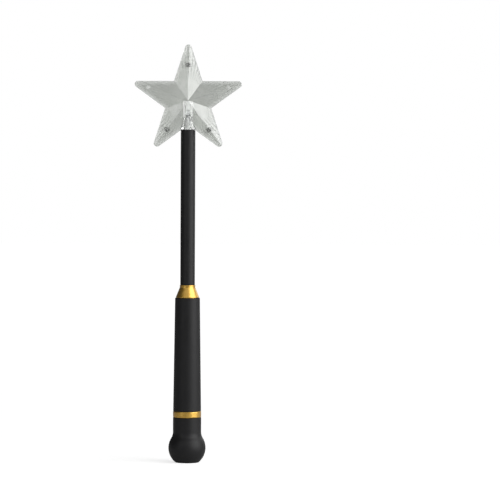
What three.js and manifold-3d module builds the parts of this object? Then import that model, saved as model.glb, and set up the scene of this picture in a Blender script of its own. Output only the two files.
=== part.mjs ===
// A light-up magic wand: a clear fluted star on a black shaft, a gold ferrule, a tapered grip over two
// cells in line, and a ball pommel that unscrews to change them. Millimetres, +Z up the wand, which stands
// on the pommel's flat foot with its axis on Z. The star's front faces -Y, and the push button is on the
// far side of the grip, +Y.

import * as THREE from "three";
import { mergeVertices, toCreasedNormals } from "three/addons/utils/BufferGeometryUtils.js";
import Module from "manifold-3d";

const wasm = await Module();
wasm.setup();

// Clearances
const SEAT_GAP = 0.3; // between pieces that seat on each other
const CELL_PLAY = 0.5; // around a cell in its bore
const CUP_PLAY = 1.2; // around a cell in the contact cup
const THREAD_GAP = 0.4; // between a thread's crest and the wall it faces
const PARTING_GAP = 0.3; // between the two halves of the star

// Cells, of the AA size
const CELL_RADIUS = 7.1;
const CELL_LENGTH = 50.5; // with its nub
const CELL_NUB_RADIUS = 2.75;
const CELL_NUB_HEIGHT = 1.2;
const CELL_NAMES = ["battery_lower", "battery_upper"];

// Pommel: a ball with a flat foot, on a straight neck
const FOOT_RADIUS = 11.6;
const FOOT_THICKNESS = 3;
const BALL_SWELL = 4.5; // how far the ball stands out from its neck
const POMMEL_FILLET = 12; // where the ball runs into the neck
const POMMEL_WALL = 2.1; // around the threaded bore
const POMMEL_HEIGHT = 44.9;

// Screw thread between pommel and grip
const SPIGOT_WALL = 2.9;
const SPIGOT_REACH = 14; // into the pommel
const THREAD_HEIGHT = 1.1;
const THREAD_LEAD = 4;
const THREAD_TURNS = 1.25;
const THREAD_FOOT_WIDTH = 1.8;
const THREAD_CREST_WIDTH = 1;
const THREAD_MARGIN = 2.5; // from the spigot's end to the first turn
const THREAD_ROOT = 0.2; // how deep the ridge is rooted in its wall

// Contact cup and spring in the pommel
const CUP_WALL = 0.5;
const CUP_PROUD = 1; // above the shelf in the pommel
const SPRING_LENGTH = 8;
const SPRING_TURNS = 4.5;
const SPRING_WIRE_RADIUS = 0.4;
const SPRING_BASE_RADIUS = 5.6;
const SPRING_TOP_RADIUS = 3.6;

// Gold ring and grip
const RING_HEIGHT = 6.2;
const GRIP_STEP = 0.15; // the grip's lower end lies this far inside the ring's face
const GRIP_WALL = 2.3; // at the top
const GRIP_EDGE = 0.5; // rounding of the top edge
const CHAMBER_LEDGE = 2.5; // step from the cells' bore out to the board's chamber

// Contacts and ground strip
const CONTACT_THICKNESS = 0.5;
const CONTACT_RADIUS = 6.2;
const STRIP_WIDTH = 4;
const STRIP_THICKNESS = 0.4;
const STRIP_FOOT = 1.1; // outwards under the spigot
const TAB_WIDTH = 2;
const TAB_SIDE = 4.5; // of the positive tab, from the axis
const TAB_RISE = 1.5; // of both tabs, above the board's lower edge

// Circuit board and its carrier
const BOARD_LENGTH = 36;
const BOARD_THICKNESS = 1.6;
const BOARD_INSET = 1.5; // from the carrier's round to the board's edge
const CARRIER_FLOOR = 1.5;
const RAIL_WALL = 1.2;
const RAIL_OVERLAP = 1.4; // over the board's edges
const CHIP_SIZE = [4.4, 1.5, 5];
const PART_SIDE = 3.2; // of the chip and the radio can, from the board's middle
const CAN_RADIUS = 2.3;
const CAN_HEIGHT = 3.2;

// Push button and its switch
const BUTTON_RADIUS = 4.8;
const BUTTON_PROUD = 0.8;
const BUTTON_EDGE = 0.7;
const BUTTON_FLANGE_RADIUS = 6.2;
const BUTTON_FLANGE_THICKNESS = 1.2;
const BUTTON_TRAVEL = 0.8;
const SWITCH_WIDTH = 6;
const SWITCH_HEIGHT = 3.2;
const PLUNGER_RADIUS = 1.75;
const PLUNGER_RISE = 1.4; // above the switch body
const PLUNGER_DEPTH = 1.5; // inside the switch body

// Ferrule
const FERRULE_HEIGHT = 12.6;
const FERRULE_STEP = 0.55; // inside the grip's top edge
const LIP_HEIGHT = 2.4;
const LIP_PROUD = 0.45; // outside the shaft
const PLUG_DEPTH = 12; // into the grip
const PLUG_FLOOR = 2;

// Shaft
const SHAFT_RADIUS = 7.27;
const SHAFT_WALL = 2;
const SHAFT_STEP = 0.7; // thinner where it enters the ferrule
const SHAFT_SHOWN = 154.8;

// Star neck with its lamp
const NECK_RADIUS = 4.3;
const NECK_RISE = 27.5; // above the shaft
const NECK_PLUG_DEPTH = 12; // into the shaft
const FLANGE_HEIGHT = 1.5;
const BARB_PROUD = 0.8;
const BARB_HEIGHT = 1.6;
const BARB_RISE = 3; // above the flange
const LED_RADIUS = 2.5;
const LED_FLANGE_RADIUS = 2.95;
const LED_FLANGE_HEIGHT = 1;
const LED_HEIGHT = 8.6; // flange and dome
const LED_RISE = 11; // of its flange above the shaft
const LEAD_LENGTH = 16;
const LEAD_WIDTH = 0.5;
const LEAD_SPACING = 2.54;
const LED_PLUG_LENGTH = 10;

// Lamp wires
const WIRE_RADIUS = 0.6;
const WIRE_SOLDERED = 3; // along the board's top end
const WIRE_SPREAD = 2.4; // of each wire from the board's middle
const WIRE_SWAY = 1; // slack in the shaft
const WIRE_STEPS = 20;

// Star
const STAR_ARMS = 5;
const STAR_RADIUS = 55.8; // to the rounded tips
const STAR_TIP_RADIUS = 3.26;
const STAR_DEPTH = 11; // of each half at the middle
const STAR_RIM = 3; // of each half at the outline
const STAR_WALL = 1.6;
const STAR_RISE = 4.6; // of the lowest notch above the shaft
const FLUTES_PER_FACET = 7;
const FLUTE_HEIGHT = 0.6;
const FLUTE_START = 18; // radius where the flutes begin
const SLEEVE_WALL = 1.3;

// Star screws, on the top arm and the two lower ones
const SCREW_ARMS = [0, 2, 3];
const SCREW_INSET = 20.4; // from the tip
const SCREW_RADIUS = 1;
const SCREW_LENGTH = 7;
const SCREW_HEAD_RADIUS = 1.9;
const SCREW_HEAD_HEIGHT = 1.4;
const SCREW_SEAT = 2; // of the head's seat behind the parting
const BOSS_WALL = 1.1;

// Pegs that line up the halves of the star, on the two side arms
const PEG_ARMS = [1, 4];
const PEG_INSET = 13.8; // from the tip
const PEG_RADIUS = 1.3;
const PEG_LENGTH = 2.6; // past the middle of the parting

// Fineness of the round shapes
const ROUND_SIDES = 40;
const SMALL_SIDES = 12;
const ARC_STEPS = 8;
const THREAD_STEPS_PER_TURN = 24;
const SPRING_STEPS_PER_TURN = 8;
const SPRING_SIDES = 5;
const WIRE_SIDES = 8;
const CREASE_ANGLE = THREE.MathUtils.degToRad(35);
const MERGE_DISTANCE = 1e-4;
const CUT_MARGIN = 1; // how far a cutting solid runs past what it cuts

// Radii that follow from one another, from the cells outwards
const cellBore = CELL_RADIUS + CELL_PLAY;
const spigotRadius = cellBore + SPIGOT_WALL;
const threadCrest = spigotRadius + THREAD_HEIGHT;
const capBore = threadCrest + THREAD_GAP;
const pommelNeck = capBore + POMMEL_WALL;
const ballRadius = pommelNeck + BALL_SWELL;
const ringRadius = pommelNeck;
const gripBaseRadius = ringRadius - GRIP_STEP;
const chamberRadius = cellBore + CHAMBER_LEDGE;
const gripTopRadius = chamberRadius + GRIP_WALL;
const carrierRadius = chamberRadius - SEAT_GAP;
const cupInner = CELL_RADIUS + CUP_PLAY;
const cupOuter = cupInner + CUP_WALL;
const stripInner = cellBore + SEAT_GAP;
const stripOuter = stripInner + STRIP_THICKNESS;
const shaftBore = SHAFT_RADIUS - SHAFT_WALL;
const shaftEndRadius = SHAFT_RADIUS - SHAFT_STEP;

// Heights up the wand, from the foot
const ballHeight = Math.sqrt(ballRadius ** 2 - FOOT_RADIUS ** 2);
const cupFloor = FOOT_THICKNESS + SEAT_GAP + CUP_WALL;
const springBottom = cupFloor + SEAT_GAP;
const cellsBottom = springBottom + SPRING_LENGTH + SEAT_GAP;
const cellsTop = cellsBottom + CELL_NAMES.length * (CELL_LENGTH + SEAT_GAP) - SEAT_GAP;
const contactBottom = cellsTop + SEAT_GAP;
const chamberFloor = contactBottom + CONTACT_THICKNESS;
const carrierBottom = chamberFloor + SEAT_GAP;
const boardBottom = carrierBottom + CARRIER_FLOOR + SEAT_GAP;
const boardTop = boardBottom + BOARD_LENGTH;
const boardMiddle = boardBottom + BOARD_LENGTH / 2;
const plugBottom = boardTop + SEAT_GAP;
const ferruleBottom = plugBottom + PLUG_DEPTH;
const gripTop = ferruleBottom - SEAT_GAP;
const ferruleTop = ferruleBottom + FERRULE_HEIGHT;
const ringBottom = POMMEL_HEIGHT + SEAT_GAP;
const ringTop = ringBottom + RING_HEIGHT;
const gripBottom = ringTop + SEAT_GAP;
const spigotBottom = POMMEL_HEIGHT - SPIGOT_REACH;
const stripFootTop = spigotBottom - SEAT_GAP;
const cupRim = stripFootTop - STRIP_THICKNESS - SEAT_GAP;
const capShelf = cupRim - CUP_PROUD;
const threadStart = spigotBottom + THREAD_MARGIN;
const shaftBottom = plugBottom + PLUG_FLOOR + SEAT_GAP;
const shaftShoulder = ferruleTop + SEAT_GAP;
const shaftTop = shaftShoulder + SHAFT_SHOWN;
const flangeBottom = shaftTop + SEAT_GAP;
const flangeTop = flangeBottom + FLANGE_HEIGHT;
const neckTop = shaftTop + NECK_RISE;
const ledBottom = shaftTop + LED_RISE;
const leadBottom = ledBottom - LEAD_LENGTH;

// Places across the grip, from the button inwards
const flangeOuterFace = Math.sqrt(carrierRadius ** 2 - BUTTON_FLANGE_RADIUS ** 2);
const flangeInnerFace = flangeOuterFace - BUTTON_FLANGE_THICKNESS;
const plungerFace = flangeInnerFace - SEAT_GAP;
const switchFace = plungerFace - PLUNGER_RISE;
const boardFront = switchFace - SWITCH_HEIGHT - SEAT_GAP;
const boardBack = boardFront - BOARD_THICKNESS;
const boardHalfWidth = carrierRadius - BOARD_INSET;

// The star's outline: the edges of a five-pointed star drawn with straight lines, before its tips are rounded
const armStep = (2 * Math.PI) / STAR_ARMS;
const edgeTurn = armStep; // from an arm's axis to the outward direction of its edge
const tipSlope = Math.PI / 2 - edgeTurn;
const sharpRadius = STAR_RADIUS + STAR_TIP_RADIUS * (1 / Math.sin(tipSlope) - 1);
const edgeDistance = sharpRadius * Math.cos(edgeTurn);
const notchRadius = edgeDistance / Math.cos(armStep / 2);
const starMiddle = shaftTop + STAR_RISE + notchRadius;
const screwCircle = STAR_RADIUS - SCREW_INSET;
const pegCircle = STAR_RADIUS - PEG_INSET;
const firstArm = Math.PI / 2;

// A closed mesh as a solid that can be joined and cut.
function solidFrom(geometry) {
  const bare = geometry.clone();
  bare.deleteAttribute("normal");
  bare.deleteAttribute("uv");
  const merged = mergeVertices(bare, MERGE_DISTANCE);
  const mesh = new wasm.Mesh({
    numProp: 3,
    vertProperties: merged.attributes.position.array,
    triVerts: merged.index.array,
  });
  return new wasm.Manifold(mesh);
}

// A geometry from corner points and triangles.
function geometryFrom(corners, triangles) {
  const geometry = new THREE.BufferGeometry();
  geometry.setAttribute("position", new THREE.Float32BufferAttribute(corners.flat(), 3));
  geometry.setIndex(triangles.flat());
  return geometry;
}

// A lathe form about Y from [radius, height] points that go up the outside first.
function latheForm(outline, sides = ROUND_SIDES) {
  const points = outline.map(([radius, height]) => new THREE.Vector2(radius, height));
  return new THREE.LatheGeometry(points, sides);
}

// A solid turned about Z.
function turned(outline, sides = ROUND_SIDES) {
  return solidFrom(latheForm(outline, sides).rotateX(Math.PI / 2));
}

// An outline that closes on itself, for a hollow turned solid.
function closed(outline) {
  return [...outline, outline[0]];
}

// Points along an arc, both ends included.
function arcPoints([radius, height], size, from, to, steps = ARC_STEPS) {
  const points = [];
  for (let step = 0; step <= steps; step += 1) {
    const angle = from + ((to - from) * step) / steps;
    points.push([radius + size * Math.cos(angle), height + size * Math.sin(angle)]);
  }
  return points;
}

// The outline of a plain round bar.
function barOutline(radius, low, high) {
  return [
    [0, low],
    [radius, low],
    [radius, high],
    [0, high],
  ];
}

// A round bar along Z.
function roundBar(radius, low, high, [x, y] = [0, 0], sides = SMALL_SIDES) {
  const form = latheForm(barOutline(radius, low, high), sides);
  return solidFrom(form.rotateX(Math.PI / 2).translate(x, y, 0));
}

// A round bar along Y, at a height up the wand.
function crossBar(radius, low, high, height, sides = SMALL_SIDES) {
  return solidFrom(latheForm(barOutline(radius, low, high), sides).translate(0, 0, height));
}

// A block between two corners.
function block(low, high) {
  const size = high.map((value, axis) => value - low[axis]);
  const middle = high.map((value, axis) => (value + low[axis]) / 2);
  return solidFrom(new THREE.BoxGeometry(...size).translate(...middle));
}

// A regular section with straight sides, for tubes along a curve.
function roundSection(radius, sides) {
  const points = [];
  for (let side = 0; side < sides; side += 1) {
    const angle = (2 * Math.PI * side) / sides;
    points.push(new THREE.Vector2(radius * Math.cos(angle), radius * Math.sin(angle)));
  }
  return new THREE.Shape(points);
}

// A tube along a curve.
function tubeAlong(curve, radius, steps, sides) {
  const section = roundSection(radius, sides);
  return new THREE.ExtrudeGeometry(section, { steps, bevelEnabled: false, extrudePath: curve });
}

// One turn after another of a trapezoid ridge, from its foot in the wall to its crest.
function threadRidge(footRadius, crestRadius, start) {
  const rootRadius = footRadius + Math.sign(footRadius - crestRadius) * THREAD_ROOT;
  const section = [
    [rootRadius, -THREAD_FOOT_WIDTH / 2],
    [crestRadius, -THREAD_CREST_WIDTH / 2],
    [crestRadius, THREAD_CREST_WIDTH / 2],
    [rootRadius, THREAD_FOOT_WIDTH / 2],
  ];
  if (crestRadius < footRadius) section.reverse();
  const steps = Math.round(THREAD_TURNS * THREAD_STEPS_PER_TURN);
  const corners = [];
  for (let step = 0; step <= steps; step += 1) {
    const turn = step / THREAD_STEPS_PER_TURN;
    const angle = 2 * Math.PI * turn;
    for (const [radius, rise] of section) {
      const height = start + turn * THREAD_LEAD + rise;
      corners.push([radius * Math.cos(angle), radius * Math.sin(angle), height]);
    }
  }
  const sides = section.length;
  const last = steps * sides;
  const triangles = [
    [0, 1, 2],
    [0, 2, 3],
    [last, last + 2, last + 1],
    [last, last + 3, last + 2],
  ];
  for (let step = 0; step < steps; step += 1) {
    for (let side = 0; side < sides; side += 1) {
      const here = step * sides + side;
      const beside = step * sides + ((side + 1) % sides);
      triangles.push([here, here + sides, beside]);
      triangles.push([beside, here + sides, beside + sides]);
    }
  }
  return solidFrom(geometryFrom(corners, triangles));
}

// The pommel: ball, neck and threaded bore, with room for the contact cup.
function pommelCap() {
  const filletRadius = pommelNeck + POMMEL_FILLET;
  const filletHeight = ballHeight + Math.sqrt((ballRadius + POMMEL_FILLET) ** 2 - filletRadius ** 2);
  const footAngle = Math.atan2(-ballHeight, FOOT_RADIUS);
  const meetAngle = Math.atan2(filletHeight - ballHeight, filletRadius);
  const cupRoom = cupOuter + SEAT_GAP;
  const filletMiddle = [filletRadius, filletHeight];
  const fillet = arcPoints(filletMiddle, POMMEL_FILLET, meetAngle + Math.PI, Math.PI, ARC_STEPS / 2);
  const body = turned([
    [0, 0],
    ...arcPoints([0, ballHeight], ballRadius, footAngle, meetAngle),
    ...fillet.slice(1),
    [pommelNeck, POMMEL_HEIGHT],
    [capBore, POMMEL_HEIGHT],
    [capBore, capShelf],
    [cupRoom, capShelf],
    [cupRoom, FOOT_THICKNESS],
    [0, FOOT_THICKNESS],
  ]);
  const ridge = threadRidge(capBore, spigotRadius + THREAD_GAP, threadStart + THREAD_LEAD / 2);
  return body.add(ridge);
}

// A drawn metal cup that floats in the pommel and carries the cells' spring.
function contactCup() {
  const bottom = FOOT_THICKNESS + SEAT_GAP;
  return turned([
    [0, bottom],
    [cupOuter, bottom],
    [cupOuter, cupRim],
    [cupInner, cupRim],
    [cupInner, cupFloor],
    [0, cupFloor],
  ]);
}

// The middle line of the cells' spring, a coil that narrows upwards.
class SpringLine extends THREE.Curve {
  getPoint(share, target = new THREE.Vector3()) {
    const angle = 2 * Math.PI * SPRING_TURNS * share;
    const radius = THREE.MathUtils.lerp(SPRING_BASE_RADIUS, SPRING_TOP_RADIUS, share);
    const climb = SPRING_LENGTH - 2 * SPRING_WIRE_RADIUS;
    const height = springBottom + SPRING_WIRE_RADIUS + climb * share;
    return target.set(radius * Math.cos(angle), radius * Math.sin(angle), height);
  }
}

// The least gap between two turns of the spring, measured on points along it.
function leastSpringGap(line) {
  const count = SPRING_TURNS * SPRING_STEPS_PER_TURN * 4;
  const points = line.getPoints(count);
  const apart = count / SPRING_TURNS / 2;
  let least = Infinity;
  for (let first = 0; first < points.length; first += 1) {
    for (let second = first + apart; second < points.length; second += 1) {
      least = Math.min(least, points[first].distanceTo(points[second]));
    }
  }
  return least - 2 * SPRING_WIRE_RADIUS;
}

function batterySpring() {
  const line = new SpringLine();
  console.log(`battery_spring: least gap to itself ${leastSpringGap(line).toFixed(2)} mm`);
  const steps = SPRING_TURNS * SPRING_STEPS_PER_TURN;
  return solidFrom(tubeAlong(line, SPRING_WIRE_RADIUS, steps, SPRING_SIDES));
}

// The gold band, which slides over the spigot's plain part.
function goldRing() {
  const bore = threadCrest + SEAT_GAP;
  return turned(
    closed([
      [bore, ringBottom],
      [ringRadius, ringBottom],
      [ringRadius, ringTop],
      [bore, ringTop],
    ]),
  );
}

// The grip's outer radius at a height.
function gripRadiusAt(height) {
  const share = (height - gripBottom) / (gripTop - gripBottom);
  return THREE.MathUtils.lerp(gripBaseRadius, gripTopRadius, share);
}

// The grip: tapered outside, with threaded spigot, cells' bore and board's chamber in one moulding.
function gripSleeve() {
  const edge = arcPoints([gripTopRadius - GRIP_EDGE, gripTop - GRIP_EDGE], GRIP_EDGE, 0, Math.PI / 2, 3);
  const body = turned(
    closed([
      [cellBore, spigotBottom],
      [spigotRadius, spigotBottom],
      [spigotRadius, POMMEL_HEIGHT],
      [threadCrest, POMMEL_HEIGHT],
      [threadCrest, gripBottom],
      [gripBaseRadius, gripBottom],
      ...edge,
      [chamberRadius, gripTop],
      [chamberRadius, chamberFloor],
      [cellBore, chamberFloor],
    ]),
  );
  const ridge = threadRidge(spigotRadius, threadCrest, threadStart);
  const channelHalf = STRIP_WIDTH / 2 + SEAT_GAP;
  const channel = block(
    [-channelHalf, -(stripOuter + SEAT_GAP), spigotBottom - CUT_MARGIN],
    [channelHalf, 0, chamberFloor + CUT_MARGIN],
  );
  const holeRadius = BUTTON_RADIUS + SEAT_GAP;
  const buttonHole = crossBar(holeRadius, 0, gripBaseRadius + CUT_MARGIN, boardMiddle, 2 * SMALL_SIDES);
  return body.add(ridge).subtract(channel).subtract(buttonHole);
}

// One cell with its nub, by its place in the row.
function cell(place) {
  const bottom = cellsBottom + place * (CELL_LENGTH + SEAT_GAP);
  const shoulder = bottom + CELL_LENGTH - CELL_NUB_HEIGHT;
  return turned([
    [0, bottom],
    [CELL_RADIUS, bottom],
    [CELL_RADIUS, shoulder],
    [CELL_NUB_RADIUS, shoulder],
    [CELL_NUB_RADIUS, bottom + CELL_LENGTH],
    [0, bottom + CELL_LENGTH],
  ]);
}

// The plate on top of the cells, with a tab up to the board's back.
function positiveContact() {
  const plate = roundBar(CONTACT_RADIUS, contactBottom, chamberFloor, [0, 0], ROUND_SIDES);
  const tabBack = boardBack - SEAT_GAP - CONTACT_THICKNESS;
  const tab = block(
    [TAB_SIDE - TAB_WIDTH / 2, tabBack, contactBottom],
    [TAB_SIDE + TAB_WIDTH / 2, tabBack + CONTACT_THICKNESS, boardBottom + TAB_RISE],
  );
  return plate.add(tab);
}

// The strip from the contact cup's rim, up the cells' bore, to the board's back.
function groundStrip() {
  const half = STRIP_WIDTH / 2;
  const footBottom = stripFootTop - STRIP_THICKNESS;
  const tabBottom = boardBottom + TAB_RISE;
  const tabTop = tabBottom + STRIP_THICKNESS;
  const leg = block([-half, -stripOuter, footBottom], [half, -stripInner, tabTop]);
  const foot = block([-half, -(stripInner + STRIP_FOOT), footBottom], [half, -stripInner, stripFootTop]);
  const tab = block([-half, -stripOuter, tabBottom], [half, boardBack - SEAT_GAP, tabTop]);
  return leg.add(foot).add(tab);
}

// The carrier: a floor over the cells and two rails that hold the board's edges.
function boardCarrier() {
  const floorTop = carrierBottom + CARRIER_FLOOR;
  const floor = roundBar(carrierRadius, carrierBottom, floorTop, [0, 0], ROUND_SIDES);
  const railBack = boardBack - SEAT_GAP - RAIL_WALL;
  const railFront = boardFront + SEAT_GAP + RAIL_WALL;
  const railInner = boardHalfWidth - RAIL_OVERLAP;
  const leftRail = block([-chamberRadius, railBack, carrierBottom], [-railInner, railFront, boardTop]);
  const rightRail = block([railInner, railBack, carrierBottom], [chamberRadius, railFront, boardTop]);
  const round = roundBar(carrierRadius, carrierBottom, boardTop, [0, 0], ROUND_SIDES);
  const rails = leftRail.add(rightRail).intersect(round);
  const slotHalf = boardHalfWidth + SEAT_GAP;
  const slot = block(
    [-slotHalf, boardBack - SEAT_GAP, floorTop],
    [slotHalf, boardFront + SEAT_GAP, boardTop + CUT_MARGIN],
  );
  const stripHalf = STRIP_WIDTH / 2 + SEAT_GAP;
  const stripNotch = block(
    [-stripHalf, -chamberRadius, carrierBottom - CUT_MARGIN],
    [stripHalf, -(stripInner - SEAT_GAP), floorTop + CUT_MARGIN],
  );
  const tabHalf = TAB_WIDTH / 2 + SEAT_GAP;
  const tabNotch = block(
    [TAB_SIDE - tabHalf, boardBack - CONTACT_THICKNESS - 2 * SEAT_GAP, carrierBottom - CUT_MARGIN],
    [TAB_SIDE + tabHalf, boardBack, floorTop + CUT_MARGIN],
  );
  return floor.add(rails).subtract(slot).subtract(stripNotch).subtract(tabNotch);
}

function controlBoard() {
  return block([-boardHalfWidth, boardBack, boardBottom], [boardHalfWidth, boardFront, boardTop]);
}

// The chip on the board's back.
function controllerChip() {
  const [width, height, length] = CHIP_SIZE;
  const face = boardBack - SEAT_GAP;
  return block(
    [-PART_SIDE - width / 2, face - height, boardMiddle - length / 2],
    [-PART_SIDE + width / 2, face, boardMiddle + length / 2],
  );
}

// The round metal can of the radio sender, beside the chip.
function radioCan() {
  const face = boardBack - SEAT_GAP;
  const form = latheForm(barOutline(CAN_RADIUS, face - CAN_HEIGHT, face), SMALL_SIDES);
  return solidFrom(form.translate(PART_SIDE, 0, boardMiddle));
}

// The switch on the board's front, with a well for its plunger.
function switchBody() {
  const half = SWITCH_WIDTH / 2;
  const body = block(
    [-half, boardFront + SEAT_GAP, boardMiddle - half],
    [half, switchFace, boardMiddle + half],
  );
  const wellBottom = switchFace - PLUNGER_DEPTH - BUTTON_TRAVEL - SEAT_GAP;
  return body.subtract(crossBar(PLUNGER_RADIUS + SEAT_GAP, wellBottom, switchFace + CUT_MARGIN, boardMiddle));
}

function switchPlunger() {
  return crossBar(PLUNGER_RADIUS, switchFace - PLUNGER_DEPTH, plungerFace, boardMiddle);
}

// The button: a flange behind the grip's wall and a cap that stands a little proud of it.
function pushButton() {
  const face = gripRadiusAt(boardMiddle) + BUTTON_PROUD;
  const outline = [
    [0, flangeInnerFace],
    [BUTTON_FLANGE_RADIUS, flangeInnerFace],
    [BUTTON_FLANGE_RADIUS, flangeOuterFace],
    [BUTTON_RADIUS, flangeOuterFace],
    ...arcPoints([BUTTON_RADIUS - BUTTON_EDGE, face - BUTTON_EDGE], BUTTON_EDGE, 0, Math.PI / 2, 3),
    [0, face],
  ];
  return solidFrom(latheForm(outline, 2 * SMALL_SIDES).translate(0, 0, boardMiddle));
}

// The gold ferrule: a cone with a lip, and a plug down into the grip that holds the shaft's end.
function ferrule() {
  const bore = shaftEndRadius + SEAT_GAP;
  const lipRadius = SHAFT_RADIUS + LIP_PROUD;
  const plugRadius = chamberRadius - SEAT_GAP;
  return turned(
    closed([
      [shaftBore, plugBottom],
      [plugRadius, plugBottom],
      [plugRadius, ferruleBottom],
      [gripTopRadius - FERRULE_STEP, ferruleBottom],
      [lipRadius, ferruleTop - LIP_HEIGHT],
      [lipRadius, ferruleTop],
      [bore, ferruleTop],
      [bore, plugBottom + PLUG_FLOOR],
      [shaftBore, plugBottom + PLUG_FLOOR],
    ]),
  );
}

// The shaft: a straight tube, thinner outside where it enters the ferrule.
function shaftTube() {
  return turned(
    closed([
      [shaftBore, shaftBottom],
      [shaftEndRadius, shaftBottom],
      [shaftEndRadius, shaftShoulder],
      [SHAFT_RADIUS, shaftShoulder],
      [SHAFT_RADIUS, shaftTop],
      [shaftBore, shaftTop],
    ]),
  );
}

// The neck's outside from its flange up, grown by a clearance where the star is cut to fit it.
function neckOutside(grow) {
  const barbBottom = flangeTop + BARB_RISE;
  const tube = NECK_RADIUS + grow;
  const barb = tube + BARB_PROUD;
  return [
    [tube, barbBottom - grow],
    [barb, barbBottom - grow],
    [barb, barbBottom + BARB_HEIGHT + grow],
    [tube, barbBottom + BARB_HEIGHT + grow],
    [tube, neckTop + grow],
  ];
}

// The clear neck: a plug in the shaft, a flange on its end, and a tube that holds the lamp inside the star.
function starNeck() {
  const wideBore = LED_FLANGE_RADIUS + SEAT_GAP;
  const narrowBore = LED_RADIUS + SEAT_GAP;
  const ledge = ledBottom + LED_FLANGE_HEIGHT + SEAT_GAP;
  return turned(
    closed([
      [wideBore, shaftTop - NECK_PLUG_DEPTH],
      [shaftBore - SEAT_GAP, shaftTop - NECK_PLUG_DEPTH],
      [shaftBore - SEAT_GAP, flangeBottom],
      [SHAFT_RADIUS, flangeBottom],
      [SHAFT_RADIUS, flangeTop],
      [NECK_RADIUS, flangeTop],
      ...neckOutside(0),
      [narrowBore, neckTop],
      [narrowBore, ledge],
      [wideBore, ledge],
    ]),
    SMALL_SIDES * 2,
  );
}

// The sideways places of the lamp's two leads, with what is soldered to each.
const leadPlaces = [
  { name: "led_wire_red", side: 1 },
  { name: "led_wire_black", side: -1 },
];

// A square bar along each of the lamp's leads, grown by a clearance for the holes that they pass.
function leadBar(side, low, high, grow) {
  const middle = (side * LEAD_SPACING) / 2;
  const half = LEAD_WIDTH / 2 + grow;
  return block([middle - half, -half, low], [middle + half, half, high]);
}

// The lamp: flange, domed body and two leads.
function starLed() {
  const flangeFace = ledBottom + LED_FLANGE_HEIGHT;
  const domeBase = ledBottom + LED_HEIGHT - LED_RADIUS;
  const body = turned(
    [
      [0, ledBottom],
      [LED_FLANGE_RADIUS, ledBottom],
      [LED_FLANGE_RADIUS, flangeFace],
      [LED_RADIUS, flangeFace],
      ...arcPoints([0, domeBase], LED_RADIUS, 0, Math.PI / 2, 5).slice(0, -1),
      [0, ledBottom + LED_HEIGHT],
    ],
    SMALL_SIDES,
  );
  const leads = leadPlaces.map(({ side }) => leadBar(side, leadBottom, ledBottom + LED_FLANGE_HEIGHT / 2, 0));
  return leads.reduce((whole, lead) => whole.add(lead), body);
}

// The plug under the lamp, with a hole for each lead.
function ledPlug() {
  const top = ledBottom - SEAT_GAP;
  const bottom = top - LED_PLUG_LENGTH;
  const body = roundBar(LED_FLANGE_RADIUS, bottom, top);
  const holes = leadPlaces.map(({ side }) => leadBar(side, bottom - CUT_MARGIN, top + CUT_MARGIN, SEAT_GAP));
  return holes.reduce((whole, hole) => whole.subtract(hole), body);
}

// A wire from the board's back, up the shaft, to the end of one of the lamp's leads.
function ledWire(side) {
  const behindBoard = boardBack - SEAT_GAP - WIRE_RADIUS;
  const leadSide = (side * LEAD_SPACING) / 2;
  const wireTop = leadBottom - SEAT_GAP;
  const shaftMiddle = (boardTop + wireTop) / 2;
  const line = new THREE.CatmullRomCurve3([
    new THREE.Vector3(side * WIRE_SPREAD, behindBoard, boardTop - WIRE_SOLDERED),
    new THREE.Vector3(side * WIRE_SPREAD, behindBoard, boardTop + WIRE_SOLDERED),
    new THREE.Vector3(side * WIRE_SPREAD, WIRE_SWAY, (boardTop + shaftMiddle) / 2),
    new THREE.Vector3(side * WIRE_SPREAD, -WIRE_SWAY, shaftMiddle),
    new THREE.Vector3(leadSide, WIRE_SWAY, (wireTop + shaftMiddle) / 2),
    new THREE.Vector3(leadSide, 0, wireTop - WIRE_SOLDERED),
    new THREE.Vector3(leadSide, 0, wireTop),
  ]);
  return solidFrom(tubeAlong(line, WIRE_RADIUS, WIRE_STEPS, WIRE_SIDES));
}

// The angle of an arm's axis in the star's own plane.
function armAngle(arm) {
  return firstArm + arm * armStep;
}

// The distance from the star's middle to its straight edges, at an angle from the nearest arm.
function outlineRadius(fromArm) {
  return edgeDistance / Math.cos(edgeTurn - fromArm);
}

// The star's outline with rounded tips, drawn in by an inset.
function starShape(inset) {
  const shape = new THREE.Shape();
  const tipMiddle = STAR_RADIUS - STAR_TIP_RADIUS;
  const notch = (edgeDistance - inset) / Math.cos(armStep / 2);
  for (let arm = 0; arm < STAR_ARMS; arm += 1) {
    const along = armAngle(arm);
    const between = along + armStep / 2;
    const x = tipMiddle * Math.cos(along);
    const y = tipMiddle * Math.sin(along);
    shape.absarc(x, y, STAR_TIP_RADIUS - inset, along - edgeTurn, along + edgeTurn, false);
    shape.lineTo(notch * Math.cos(between), notch * Math.sin(between));
  }
  return shape;
}

// An upright slab with the star's outline.
function starSlab(inset, low, high) {
  const options = { depth: high - low, bevelEnabled: false, curveSegments: ARC_STEPS };
  return solidFrom(new THREE.ExtrudeGeometry(starShape(inset), options).translate(0, 0, low));
}

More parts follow.
